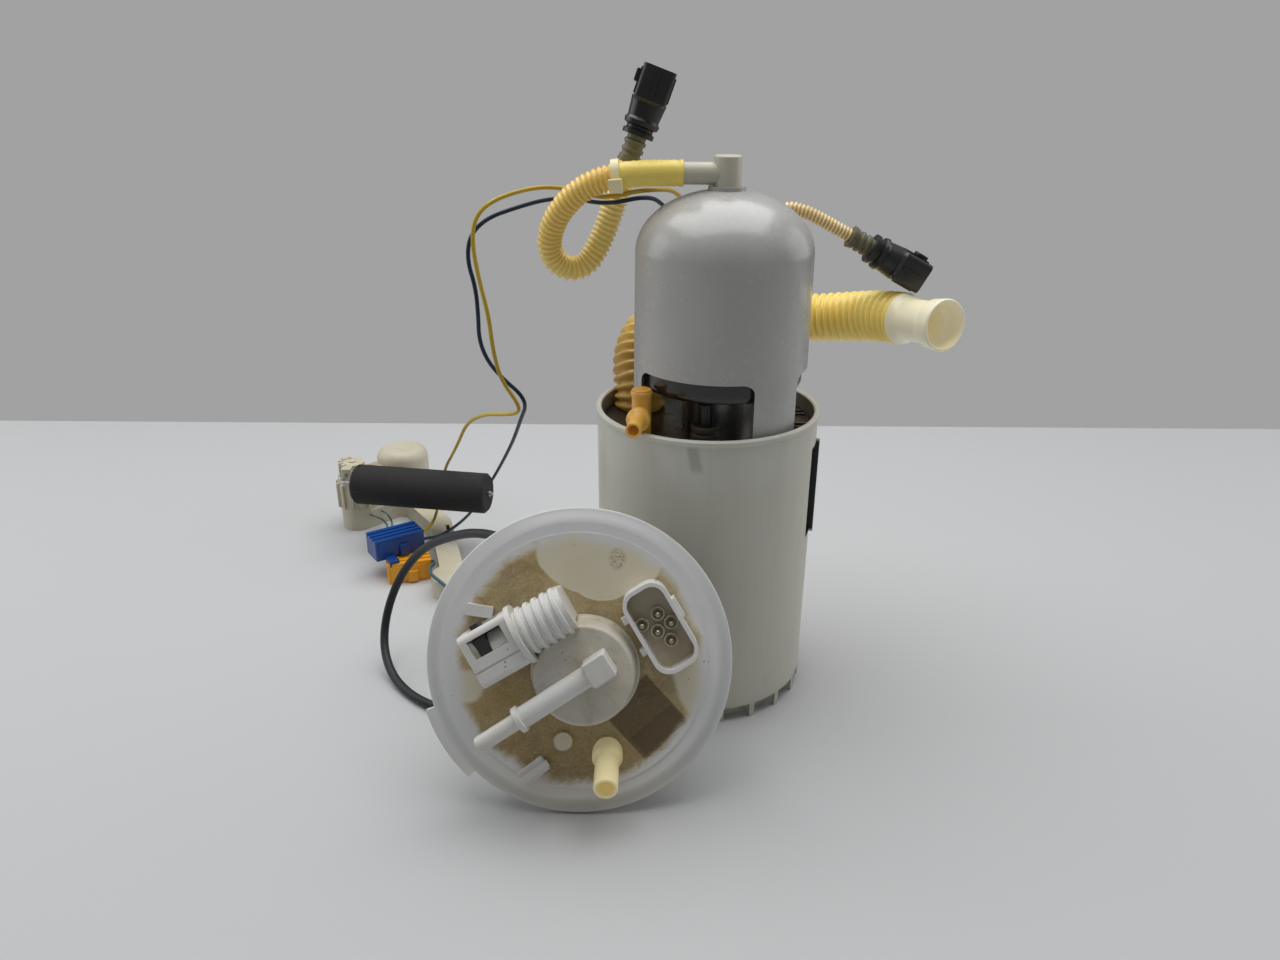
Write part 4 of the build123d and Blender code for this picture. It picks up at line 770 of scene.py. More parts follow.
ORANGE = Moulding("orange_housing", (0.9, 0.42, 0.01), (0.8, 0.33, 0.008), 0.32, 0.14,
                  grime=(0.2, 0.08, 0.01), grime_share=0.4)
BLUE = Moulding("blue_housing", (0.006, 0.06, 0.27), (0.004, 0.035, 0.17), 0.36, 0.14,
                grime=(0.03, 0.05, 0.1), grime_share=0.3)
RUBBER = Moulding("tube_rubber", (0.005, 0.006, 0.008), (0.009, 0.011, 0.014), 0.5, 0.16,
                  grime=(0.05, 0.05, 0.05), grime_share=0.3)
VALVE_RUBBER = Moulding("valve_rubber", (0.04, 0.035, 0.03), (0.07, 0.06, 0.05), 0.6)
YELLOW_WIRE = Moulding("yellow_sheath", (0.6, 0.42, 0.035), (0.5, 0.32, 0.02), 0.34, 0.16,
                       grime=(0.2, 0.12, 0.02), grime_share=0.5)
BLACK_WIRE = Moulding("blue_black_sheath", (0.005, 0.014, 0.036), (0.007, 0.03, 0.075), 0.46, 0.16)
TEAL_WIRE = Moulding("teal_sheath", (0.09, 0.25, 0.3), (0.03, 0.1, 0.14), 0.36, 0.16)
CERAMIC = Moulding("card_ceramic", (0.5, 0.44, 0.33), (0.42, 0.35, 0.25), 0.45)
PUMP_PLASTIC = Moulding("pump_plastic", (0.03, 0.03, 0.03), (0.05, 0.05, 0.05), 0.42)
STEEL = Metal("rolled_steel", (0.52, 0.52, 0.52), 0.28)
IRON = Metal("core_iron", (0.24, 0.235, 0.23), 0.5)
COPPER = Metal("bar_copper", (0.72, 0.36, 0.2), 0.3)
PIN = Metal("plated_pin", (0.62, 0.56, 0.42), 0.28)
PAPER = Woven("filter_paper", (0.62, 0.5, 0.28), (0.42, 0.32, 0.16), 0.0011)
NETTING = Woven("strainer_netting", (0.6, 0.59, 0.52), (0.12, 0.11, 0.09), 0.0009)

SUPPLY_AMBER = HoseFinish("supply_amber", (0.9, 0.75, 0.28), (0.87, 0.65, 0.17), (0.94, 0.8, 0.58),
                          0.15, 0.03, (0.86, 0.69, 0.155), 0.034, 0.26, 0.35, 0.05)
RETURN_AMBER = HoseFinish("return_amber", (0.9, 0.74, 0.42), (0.6, 0.4, 0.15), (0.9, 0.78, 0.6),
                          0.1, 0.02, (0.8, 0.62, 0.25), 0.0, 0.3, 0.3, 0.04)
TRANSFER_CREAM = HoseFinish("transfer_cream", (0.95, 0.78, 0.24), (0.9, 0.64, 0.115), (0.5, 0.36, 0.22),
                            0.085, 0.02, (0.8, 0.65, 0.25), 0.0, 0.28, 0.4, 0.06)


# ---------------------------------------------------------------- meshes


WELD = 2e-6
FLAT = math.radians(0.6)
EDGE_ANGLE = math.radians(40)
DISC_SIDES = 96


def smooth(mesh: bpy.types.Mesh, angle: float = 34.0) -> None:
    """Smooth shading with edges kept where faces meet more sharply than an angle in degrees."""
    mesh.shade_smooth()
    mesh.set_sharp_from_angle(angle=math.radians(angle))


def new_piece(name: str, form: bmesh.types.BMesh, finish: object, body: str) -> bpy.types.Object:
    """Turns a bmesh into a finished piece on a body.

    Args:
        name: The piece's name.
        form: Its mesh, in metres.
        finish: Finish with a material() method.
        body: CAD body that it rides on.

    Returns:
        The piece.
    """
    mesh = bpy.data.meshes.new(name)
    form.to_mesh(mesh)
    form.free()
    mesh.materials.append(finish.material())
    smooth(mesh)
    piece = bpy.data.objects.new(name, mesh)
    bpy.context.scene.collection.objects.link(piece)
    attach(piece, body)
    log.info("%s: %d faces on %s", name, len(mesh.polygons), body)
    return piece


def rounded(piece: bpy.types.Object, edge: float, segments: int = 3) -> bpy.types.Object:
    """Rounds the edges of a made piece by a width in millimetres."""
    bevel = piece.modifiers.new("edges", "BEVEL")
    bevel.width = mm(edge)
    bevel.segments = segments
    bevel.limit_method = "ANGLE"
    bevel.angle_limit = EDGE_ANGLE
    return piece


def softened(
    node: str, finish: object, edge: float, cut: tuple[Vector, Vector] | None = None
) -> bpy.types.Object:
    """Copy of a node with its doubles merged and its edges rounded, which stands for it.

    Args:
        node: CAD node.
        finish: Finish with a material() method.
        edge: Width of the rounded edges in millimetres, 0 for none.
        cut: Point and outward normal of a plane that ends it, or None.

    Returns:
        The piece.
    """
    source = frame["nodes"][node]
    form = bmesh.new()
    form.from_mesh(source.data)
    bmesh.ops.remove_doubles(form, verts=form.verts, dist=WELD)
    if cut:
        whole = [*form.verts, *form.edges, *form.faces]
        found = bmesh.ops.bisect_plane(form, geom=whole, plane_co=cut[0], plane_no=cut[1], clear_outer=True)
        rim = [part for part in found["geom_cut"] if isinstance(part, bmesh.types.BMEdge)]
        bmesh.ops.holes_fill(form, edges=rim)
        bmesh.ops.recalc_face_normals(form, faces=form.faces)
    bmesh.ops.dissolve_limit(form, angle_limit=FLAT, verts=form.verts, edges=form.edges)
    piece = new_piece(f"{node}_finished", form, finish, source["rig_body"])
    if edge:
        rounded(piece, edge, 2)
        piece.modifiers["edges"].miter_outer = "MITER_ARC"
        piece.modifiers.new("flat_faces", "WEIGHTED_NORMAL").keep_sharp = True
    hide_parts(node)
    return piece


def reshaped(piece: bpy.types.Object, rule: Callable[[Vector], Vector]) -> bpy.types.Object:
    """Moves every vertex of a made piece by a rule of its place, and drops what is left without area.

    Args:
        piece: The piece.
        rule: Gives a vertex's new place from its old one.

    Returns:
        The piece.
    """
    form = bmesh.new()
    form.from_mesh(piece.data)
    for vertex in form.verts:
        vertex.co = rule(vertex.co.copy())
    bmesh.ops.dissolve_degenerate(form, dist=WELD, edges=form.edges)
    form.to_mesh(piece.data)
    form.free()
    smooth(piece.data)
    return piece


def in_order(
    parts: bmesh.types.BMVertSeq | bmesh.types.BMFaceSeq, place: Callable[[object], tuple]
) -> None:
    """Puts a form's vertices or faces in order, since merging leaves them in one that differs by run.

    Args:
        parts: The vertices or faces.
        place: Gives the numbers that they are ordered by.
    """
    rank = {part: i for i, part in enumerate(sorted(parts, key=place))}
    parts.sort(key=rank.get)


def add_box(form: bmesh.types.BMesh, frame_at: Matrix, middle: Point, size: Point) -> None:
    """Adds a box to a form.

    Args:
        form: The mesh.
        frame_at: Frame that its place is given in.
        middle: Its middle, in millimetres.
        size: Its sides, in millimetres.
    """
    place = Matrix.Translation(mm(*middle)) @ Matrix.Diagonal((*mm(*size), 1.0))
    bmesh.ops.create_cube(form, size=1.0, matrix=frame_at @ place)


def add_disc(form: bmesh.types.BMesh, radius: float, low: float, high: float) -> None:
    """Adds an upright disc about the cup's axis, all in millimetres.

    Args:
        form: The mesh.
        radius: Its radius.
        low: Its underside.
        high: Its top.
    """
    bmesh.ops.create_cone(
        form, cap_ends=True, segments=DISC_SIDES, radius1=mm(radius), radius2=mm(radius),
        depth=mm(high - low), matrix=Matrix.Translation(mm(0, 0, (low + high) / 2)),
    )


@dataclass(frozen=True)
class Fittings:
    """Row of nodes that get only a finish and rounded edges, whose width is in millimetres."""

    rows: tuple[tuple[str, object, float], ...]

    def build(self) -> None:
        """Dresses the nodes in order."""
        for node, finish, edge in self.rows:
            softened(node, finish, edge)


# ---------------------------------------------------------------- cords


CURVE_STEPS = 10
CURVE_SIDES = 4


@dataclass
class Route:
    """Centreline of a cord: a smooth curve drawn towards a row of points."""

    name: str
    points: Sequence[Point]

    def curve(self, radius: float = 0.0) -> bpy.types.Object:
        """Makes the curve, with a round section where a radius is given.

        Args:
            radius: Section radius in millimetres, 0 for a bare line.

        Returns:
            The curve's object, linked to the scene.
        """
        data = bpy.data.curves.new(self.name, "CURVE")
        data.dimensions = "3D"
        data.resolution_u = CURVE_STEPS
        data.bevel_depth = mm(radius)
        data.bevel_resolution = CURVE_SIDES
        data.use_fill_caps = True
        spline = data.splines.new("NURBS")
        spline.points.add(len(self.points) - 1)
        for knot, point in zip(spline.points, self.points):
            knot.co = (*mm(*point), 1.0)
        spline.order_u = 3
        spline.use_endpoint_u = True
        thing = bpy.data.objects.new(self.name, data)
        bpy.context.scene.collection.objects.link(thing)
        return thing

    def shifted(self, name: str, step: Point) -> "Route":
        """The same route moved by a step in millimetres."""
        return Route(name, [tuple(a + b for a, b in zip(point, step)) for point in self.points])


class Spine:
    """Stations along a centreline, each with a frame that doesn't twist."""

    def __init__(self, route: Route) -> None:
        """Reads the points of a route's curve.

        Args:
            route: The centreline.
        """
        bare = route.curve()
        bpy.context.view_layer.update()
        line = bpy.data.meshes.new_from_object(bare)
        self.points = [vertex.co.copy() for vertex in line.vertices]
        curve = bare.data
        bpy.data.objects.remove(bare)
        bpy.data.curves.remove(curve)
        bpy.data.meshes.remove(line)
        self.along = [0.0]
        for near, far in zip(self.points, self.points[1:]):
            self.along.append(self.along[-1] + (far - near).length)
        self.length = self.along[-1]
        last = len(self.points) - 1
        heads = [
            (self.points[min(i + 1, last)] - self.points[max(i - 1, 0)]).normalized() for i in range(last + 1)
        ]
        side = heads[0].orthogonal().normalized()
        self.frames = []
        for i, head in enumerate(heads):
            if i:
                side = heads[i - 1].rotation_difference(head) @ side
            side = (side - head * side.dot(head)).normalized()
            self.frames.append((side.copy(), head.cross(side)))

    def carry(self, place: Vector) -> Vector:
        """Point of a straight piece about Z, carried onto the centreline.

        Args:
            place: Point whose Z is the distance along the line.

        Returns:
            The point, in metres.
        """
        reach = min(max(place.z, 0.0), self.length)
        i = next((k for k in range(1, len(self.along)) if self.along[k] >= reach), len(self.along) - 1)
        share = (reach - self.along[i - 1]) / max(self.along[i] - self.along[i - 1], 1e-9)
        middle = self.points[i - 1].lerp(self.points[i], share)
        first = self.frames[i - 1][0].lerp(self.frames[i][0], share).normalized()
        second = self.frames[i - 1][1].lerp(self.frames[i][1], share).normalized()
        return middle + first * place.x + second * place.y


HOSE_LIP = 0.4
HOSE_TAIL = 0.5
SLEEVE_LIP_END, SLEEVE_START, SLEEVE_STEP = 1.6, 2.4, 0.35
RIPPLE_PITCH, RIPPLE_LOW, RIPPLE_HIGH = 3.2, 1.2, 2.0
RING_SHARES = (0.02, 0.22, 0.42, 0.58, 0.74)
SHOULDER_DROP = 0.12


@dataclass
class RibbedHose:
    """Ribbed hose: rings of one pitch between a crest and a valley radius, with a plain sleeve first."""

    name: str
    route: Route
    crest: float
    valley: float
    pitch: float
    plain: float = 0.0
    ripple: float = 0.0
    steps: int = 24

    def profile(self, length: float) -> list[tuple[float, float]]:
        """Radius and distance along the hose, in millimetres.

        Args:
            length: The hose's length in millimetres.

        Returns:
            Pairs of radius and distance.
        """
        rows = [(0.0, 0.0), (self.crest - HOSE_LIP, 0.0)]
        if self.plain:
            sleeve = self.crest - SLEEVE_STEP
            rows += [(self.crest, HOSE_LIP), (self.crest, SLEEVE_LIP_END), (sleeve, SLEEVE_START)]
            place = SLEEVE_START
            while place + RIPPLE_PITCH < self.plain:
                rows += [(sleeve, place + RIPPLE_LOW), (sleeve + self.ripple, place + RIPPLE_HIGH)]
                place += RIPPLE_PITCH
        start = self.plain or HOSE_LIP
        count = int((length - start - HOSE_TAIL) / self.pitch)
        pitch = (length - start - HOSE_TAIL) / count
        shoulder = self.crest - SHOULDER_DROP * (self.crest - self.valley)
        ring = (self.valley, self.valley, shoulder, self.crest, shoulder)
        for i in range(count):
            low = start + i * pitch
            rows += [(radius, low + share * pitch) for radius, share in zip(ring, RING_SHARES)]
        return rows + [(self.valley, length), (0.0, length)]

    def build(self, finish: HoseFinish, slot: str) -> tuple[bpy.types.Object, Spine]:
        """Spins the profile and carries it onto the route.

        Args:
            finish: The hose's finish.
            slot: Not used.

        Returns:
            The piece and its spine.
        """
        spine = Spine(self.route)
        form = bmesh.new()
        profile = self.profile(spine.length * 1000)
        rows = [form.verts.new((mm(radius), 0, mm(place))) for radius, place in profile]
        edges = [form.edges.new(pair) for pair in zip(rows, rows[1:])]
        bmesh.ops.spin(
            form, geom=rows + edges, cent=(0, 0, 0), axis=(0, 0, 1), angle=2 * math.pi, steps=self.steps,
            use_merge=True,
        )
        bmesh.ops.remove_doubles(form, verts=form.verts, dist=1e-6)
        bmesh.ops.recalc_face_normals(form, faces=form.faces)
        in_order(form.verts, lambda vertex: tuple(vertex.co))
        in_order(form.faces, lambda face: tuple(face.calc_center_median()))
        swell = form.verts.layers.float.new("swell")
        along = form.verts.layers.float.new("along")
        for vertex in form.verts:
            radius = math.hypot(vertex.co.x, vertex.co.y) * 1000
            vertex[swell] = min(max((radius - self.valley) / (self.crest - self.valley), 0.0), 1.0)
            vertex[along] = vertex.co.z
        for vertex in form.verts:
            vertex.co = spine.carry(vertex.co)
        piece = new_piece(self.name, form, finish, MODULE)
        smooth(piece.data, 80)
        return piece, spine


@dataclass
class Lead:
    """Plain round cord of a radius in millimetres that stands for a node."""

    name: str
    node: str
    route: Route
    radius: float
    finish: Moulding
    slot: str
    end: str = "object"
    extras: Sequence[bpy.types.Object] = ()

    def build(self) -> None:
        piece = self.route.curve(self.radius)
        piece.name = self.name
        piece.data.materials.append(self.finish.material())
        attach(piece, MODULE)
        log.info("%s: curve of %d points", self.name, len(self.route.points))
        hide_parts(self.node)
        mm(*self.route.points[0])
        Spine(self.route).length
        mm(2 * self.radius)


SUPPLY_ROUTE = Route("supply_line", [
    (-16, -8, 284.5), (-34.5, -8, 284.5), (-50, -7.5, 283), (-62.5, -6, 278.5), (-73, -4, 270.5),
    (-80, -1, 260.5), (-83, 1.5, 251.5), (-82.3, 3.3, 243.3), (-77.9, 4.7, 237.3), (-70.9, 5.8, 235.2),
    (-64.2, 6.8, 238), (-59.2, 7.8, 245.5), (-54, 8.8, 256.5), (-49.5, 9.8, 270), (-43, 11, 288),
])
TRANSFER_ROUTE = Route("transfer_line", [
    (-36.2, 19.3, 150.55), (-36.2, 19.3, 164.5), (-38.6, 29.3, 180.5), (-33, 43.5, 193), (-19, 57, 198),
    (1, 65.5, 197.5), (23, 68.5, 196), (46, 68, 195.5), (69, 62, 197.5), (88, 50.5, 201.5),
    (100.5, 36.5, 205), (107.5, 23, 206.5),
])
RETURN_ROUTE = Route("return_line", [
    (28.5, 41, 150.55), (28.5, 41, 177), (28, 41.5, 204), (28.5, 41, 228), (29, 40.5, 243.5),
    (32.5, 39, 256.5), (41, 36.5, 263.5), (51.5, 33.8, 261.5), (63, 33, 256), (76, 33, 249),
])
YELLOW_ROUTE = Route("yellow_line", [
    (-6, 43.5, 150.55), (-6, 43.5, 178), (-7, 44, 207), (-6, 42, 234), (-9.5, 37, 254.5),
    (-14.5, 25, 268.5), (-21, 10, 275), (-29.5, -1, 276), (-38.5, -6, 275.8), (-48.5, -6.8, 273.6),
    (-57.5, -1, 272.2), (-67, 7.6, 273.5), (-80.5, 11, 276), (-95, 7, 275), (-111, 2, 270),
    (-119.5, 0, 262.5), (-122, 0, 250), (-119.5, 0, 231), (-115.5, 0, 212), (-114.5, 1, 194),
    (-111.5, 2, 177.5), (-102.5, 2, 163.5), (-102.5, 5, 157), (-112, 14, 153), (-126, 31, 147.5),
    (-142, 60, 132), (-156, 100, 104), (-171, 144, 76), (-181, 168, 58), (-187, 177, 38),
    (-188.5, 168, 27.5), (-187.5, 150, 25), (-188.5, 136.5, 24), (-193, 129.6, 24),
    (-197.8, 126.3, 24),
])
BLACK_ROUTE = Route("black_line", [
    (-10.5, 42, 150.55), (-10.5, 42, 178), (-10.7, 41.8, 207), (-11, 41, 232), (-14.5, 37, 250),
    (-21, 27.5, 261.5), (-27.5, 13, 268.8), (-31.5, 2, 271.8), (-38.5, -4.5, 272.4),
    (-47.5, -5.3, 270.4), (-57.5, 0.5, 269.2), (-68, 9, 270), (-83.5, 12, 270), (-101, 8, 265.5),
    (-114.5, 4, 261), (-123.5, 3.5, 252.5), (-125.5, 3.5, 240), (-122, 3.5, 226), (-121.5, 3.5, 211.5),
    (-122, 4, 198), (-118, 4.5, 186), (-110, 5, 176), (-101.5, 5.5, 168), (-99, 9, 160),
    (-103.5, 20, 149), (-112, 48, 126), (-125, 92, 96), (-138, 138, 67), (-147, 166, 48),
    (-155, 176, 33), (-163, 168.5, 22.5), (-169.5, 156, 19), (-177, 142, 17.5), (-183.5, 130.5, 18.5),
    (-189.5, 124.7, 20.8), (-194.4, 121.3, 20.8),
])
TUBE_ROUTE = Route("tube_line", [
    (-95.3, -64.6, 105.4), (-103.5, -60.8, 112.5), (-117, -48, 110), (-134, -28.5, 99.5),
    (-160, 2, 77), (-178.5, 13, 53), (-188, 8.5, 30.5), (-189, -4, 13.5), (-181, -21, 4.4),
    (-167, -38, 2.7), (-150, -51, 3.4), (-128, -60, 2.7), (-105, -64, 4.5), (-87, -64, 9),
    (-74, -60, 15.5), (-63.3, -53.1, 20), (-54.07, -45.37, 20),
])
SENDER_ROUTES = (
    Route("sender_line_a", [
        (-246, 184.3, 11), (-243, 181.6, 11.2), (-239, 174.5, 14), (-229, 157, 20), (-219.5, 136, 25.5),
        (-217.8, 128.6, 26), (-214.8, 124.5, 26),
    ]),
    Route("sender_line_b", [
        (-239.3, 191.7, 11), (-236.4, 189.1, 11.2), (-232.5, 180, 14.5), (-225, 162, 20),
        (-216.5, 139, 25.5), (-215.4, 130.3, 26), (-212.4, 126.2, 26),
    ]),
)
FLANGE_ROUTE = Route("flange_line", [
    (-187.26, 109.53, 9), (-183.6, 110.6, 9), (-181.6, 109.1, 9.8), (-180.3, 106, 10.8),
    (-179.4, 101, 12.5), (-179.6, 94, 14.8), (-179.4, 86, 16.8), (-176.5, 75, 18.5), (-167.5, 63, 19.5),
    (-151, 45, 17), (-129, 20, 14), (-106, -4, 19), (-84, -24, 30), (-66, -38, 41.5), (-50, -46, 51),
    (-39, -50.6, 57), (-32, -54, 60), (-28, -57.6, 62.2), (-27.3, -61.9, 64.1),
])
LEAD_STEP = 0.85
TIE_CUT = (mm(-48.5, -17, 276.0), Vector((0, 0, -1)))


# ---------------------------------------------------------------- sub-assemblies


CUP_FITTINGS = Fittings((
    ("jet_pump", BLACK, 0.3), ("first_fill_valve", VALVE_RUBBER, 0.2), ("inlet_strainer", NETTING, 0),
))
PUMP = Fittings((
    ("pump_housing", STEEL, 0.3), ("pump_inlet_cover", PUMP_PLASTIC, 0.3), ("pump_impeller", PUMP_PLASTIC, 0),
    ("pump_armature", IRON, 0.2), ("pump_commutator", COPPER, 0), ("pump_magnets", IRON, 0.3),
    ("pump_brushes", IRON, 0.2), ("pump_outlet_cover", PUMP_PLASTIC, 0.3),
    ("pump_check_valve", VALVE_RUBBER, 0),
))
FILTER_HOUSING = Fittings((
    ("filter_bowl", BOWL_BLACK, 0.5), ("filter_element", PAPER, 0), ("dome_cover", DOME, 0.6),
    ("outlet_elbow", ELBOW, 0.5),
))
DECK_FITTINGS = Fittings((
    ("regulator_body", REGULATOR_GREY, 0.3), ("regulator_cap", BLACK, 0.25),
    ("regulator_plunger", STEEL, 0.2), ("fill_elbow", AMBER, 0.4),
))
FLANGE_FITTINGS = Fittings((
    ("socket_terminals", PIN, 0.15), ("harness_plug", BLACK, 0.4), ("vent_nipple", PALE_NIPPLE, 0.4),
    ("rollover_housing", UNDERSIDE, 0.3), ("rollover_float", BLACK, 0.3), ("tube_elbow", UNDERSIDE, 0.2),
))
SENDER_PARTS = Fittings((
    ("sender_card", CERAMIC, 0), ("sender_rotor", CREAM, 0.3), ("float_arm", STEEL, 0),
    ("float", Foam(), 0.4),
))


@dataclass
class Reservoir:
    """Swirl pot with what is fitted in its floor."""

    wall: float = 59.25
    inside: float = 55.0
    slot_azimuths: tuple[float, float] = (64.0, 90.0)
    slot_levels: tuple[float, float] = (94.5, 150.5)
    slot_turn: float = 5.5
    rail_azimuth: float = 72.0

    def slot_place(self, place: Vector) -> Vector:
        """Turns the side slot forward, with its near rail flush with the wall."""
        azimuth = math.degrees(math.atan2(place.x, -place.y))
        radius = math.hypot(place.x, place.y)
        level = mm(self.slot_levels[0]) < place.z < mm(self.slot_levels[1])
        facing = self.slot_azimuths[0] < azimuth < self.slot_azimuths[1]
        if not level or not facing or radius < mm(self.inside):
            return place
        if azimuth < self.rail_azimuth:
            radius = min(radius, mm(self.wall))
        turned = math.radians(azimuth - self.slot_turn)
        return Vector((radius * math.sin(turned), -radius * math.cos(turned), place.z))

    def build(self) -> None:
        """Dresses the cup, jet pump, first fill valve and strainer."""
        reshaped(softened("reservoir_cup", CupFinish(), 0.5), self.slot_place)
        CUP_FITTINGS.build()


@dataclass
class PumpCarrier:
    """Carrier in the cup and the pump in its sleeve, with the grille that lies on its deck."""

    grille_radius: float = 56.6
    grille_low: float = 150.6
    grille_top: float = 156.6
    bars: tuple[float, ...] = (-22.0, -14.5, -9.0, 6.5, 12.0, 27.0)
    bar_start: float = 37.0
    bar_end_circle: float = 55.0
    bar_width: float = 1.5
    bar_height: float = 1.4
    bar_rise: float = 0.4

    def grille(self) -> None:
        """Adds the raised deck with its bars."""
        form = bmesh.new()
        add_disc(form, self.grille_radius, self.grille_low, self.grille_top)
        for level in self.bars:
            reach = math.sqrt(self.bar_end_circle ** 2 - level ** 2) - self.bar_start
            middle = (self.bar_start + reach / 2, level, self.grille_top + self.bar_rise)
            add_box(form, Matrix(), middle, (reach, self.bar_width, self.bar_height))
        rounded(new_piece("deck_grille", form, DECK_BLACK, MODULE), 0.3)

    def build(self) -> None:
        """Dresses the carrier and the pump's parts."""
        softened("pump_holder", DECK_BLACK, 0.4)
        self.grille()
        PUMP.build()


@dataclass
class FuelLine:
    """Ribbed hose that ends in a stem and a quick connector."""

    side: str
    hose: RibbedHose
    finish: HoseFinish
    extras: Sequence[bpy.types.Object] = ()

    def build(self) -> None:
        stem = softened(f"{self.side}_stem", STEM, 0.2)
        connector = softened(f"{self.side}_connector", BLACK, 0.4)
        release = softened(f"{self.side}_release", BLACK, 0.3)
        piece, spine = self.hose.build(self.finish, "supply_amber")
        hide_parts(f"{self.side}_hose")
        mm(2 * self.hose.crest)


class TransferLine:
    """Wide ribbed hose with its flared cuff."""

    hose = RibbedHose("transfer_ribbed", TRANSFER_ROUTE, 14.2, 12.0, 4.7, steps=40)

    def build(self) -> None:
        cuff = softened("transfer_cuff", CUFF, 0.3)
        piece, spine = self.hose.build(TRANSFER_CREAM, "transfer_cream")
        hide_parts("transfer_hose")
        mm(2 * self.hose.crest)


class Wiring:
    """Pump wires, sender leads, flange leads, their connectors and the black tube."""

    wire_radius = 1.1
    lead_radius = 0.7
    tube_radius = 2.5
    blue_place = (-219.5, 114.0, 0.0)
    blue_turn = 35.0
    tongue_boxes = (
        ((1, -11.5, 16.6), (13, 4.4, 2.6)),
        ((1, -17, 16.4), (7, 12, 2.2)),
        ((1, -22.6, 11.6), (7, 1.8, 11.8)),
    )

    def tongue(self) -> bpy.types.Object:
        """Latch tongue of the blue connector."""
        form = bmesh.new()
        turn = Matrix.Rotation(math.radians(self.blue_turn), 4, "Z")
        stand = Matrix.Translation(mm(*self.blue_place)) @ turn
        for middle, size in self.tongue_boxes:
            add_box(form, stand, middle, size)
        return rounded(new_piece("blue_tongue", form, BLUE, MODULE), 0.4)

    def build(self) -> None:
        """Builds every connector and wire."""
        orange = softened("orange_connector", ORANGE, 0.35)
        pump_plug = [softened("blue_connector", BLUE, 0.35), self.tongue()]
        thick, thin = self.wire_radius, self.lead_radius
        leads = [
            Lead("return_tube_black", "return_tube", TUBE_ROUTE, self.tube_radius, RUBBER, "tube_rubber"),
            Lead("yellow_wire", "pump_wire_yellow", YELLOW_ROUTE, thick, YELLOW_WIRE, "wire_yellow",
                 "connector", pump_plug),
            Lead("black_wire", "pump_wire_black", BLACK_ROUTE, thick, BLACK_WIRE, "wire_black"),
        ]
        for name, route in zip(("sender_lead_a", "sender_lead_b"), SENDER_ROUTES):
            leads.append(Lead(name, "sender_leads", route, thin, TEAL_WIRE, "wire_teal"))
        for name, step, extras in (("flange_lead_a", LEAD_STEP, [orange]), ("flange_lead_b", -LEAD_STEP, [])):
            route = FLANGE_ROUTE.shifted(name, (0, 0, step))
            leads.append(Lead(name, "flange_leads", route, thin, TEAL_WIRE, "wire_teal", "object", extras))
        for lead in leads:
            lead.build()


@dataclass
class TankFlange:
    """Tank flange with its cap, pipe, coupling, socket and nipple, leaning on the cup."""

    origin: Point = (-64.6, -104.08, 69.741)
    lean: float = 22.0
    disc_radius: float = 61.0
    rim_radius: float = 74.0
    socket_place: Point = (38.5, 18.0, 0.0)
    socket_half: Point = (9.6, 19.9, 12.5)
    socket_turn: float = 31.0
    coupling_place: Point = (-8.5, 25.5, 15.5)
    coupling_turn: float = 30.0
    coupling_heel: float = 5.0
    tab_place: Point = (-21.4, -52.6, 0.0)
    tab_turn: float = 38.0
    tab_middle: Point = (0.0, 0.0, 1.4)
    tab_size: Point = (14.5, 7.4, 3.4)

    def tab(self, stand: Matrix) -> None:
        """Adds the locating tab on the rim, in the face's frame."""
        form = bmesh.new()
        turn = Matrix.Rotation(math.radians(self.tab_turn), 4, "Z")
        add_box(form, stand @ Matrix.Translation(mm(*self.tab_place)) @ turn, self.tab_middle, self.tab_size)
        rounded(new_piece("locating_tab", form, WHITE, MODULE), 0.5)

    def build(self) -> None:
        """Dresses the flange's pieces."""
        origin = mm(*self.origin).freeze()
        turn = Euler((math.radians(90 - self.lean), 0, 0)).freeze()
        basis = turn.to_matrix()
        socket_turn = (basis @ Matrix.Rotation(math.radians(self.socket_turn), 3, "Z")).to_euler()
        socket_place = origin + basis @ mm(*self.socket_place)
        aim = math.radians(self.coupling_turn)
        heading = basis @ Vector((math.cos(aim), math.sin(aim), 0))
        axis = origin + basis @ mm(*self.coupling_place)
        dirt = SettledDirt("flange_face", origin, turn, mm(self.disc_radius), mm(self.rim_radius))
        shroud = SocketDustAndShade(
            "socket_white", socket_place.freeze(), socket_turn.freeze(), tuple(map(mm, self.socket_half))
        )
        softened("flange_plate", dirt, 0.4)
        softened("valve_cap", CAP_WHITE, 0.5)
        softened("vapour_pipe", WHITE, 1.3)
        softened("coupling_elbow", WHITE, 0.3, (axis + heading * mm(self.coupling_heel), heading))
        self.tab(Matrix.Translation(origin) @ basis.to_4x4())
        softened("coupling_cage", WHITE, 0.4)
        softened("coupling_retainer", LATCH, 0.3)
        softened("socket_shroud", shroud, 0.4)
        FLANGE_FITTINGS.build()


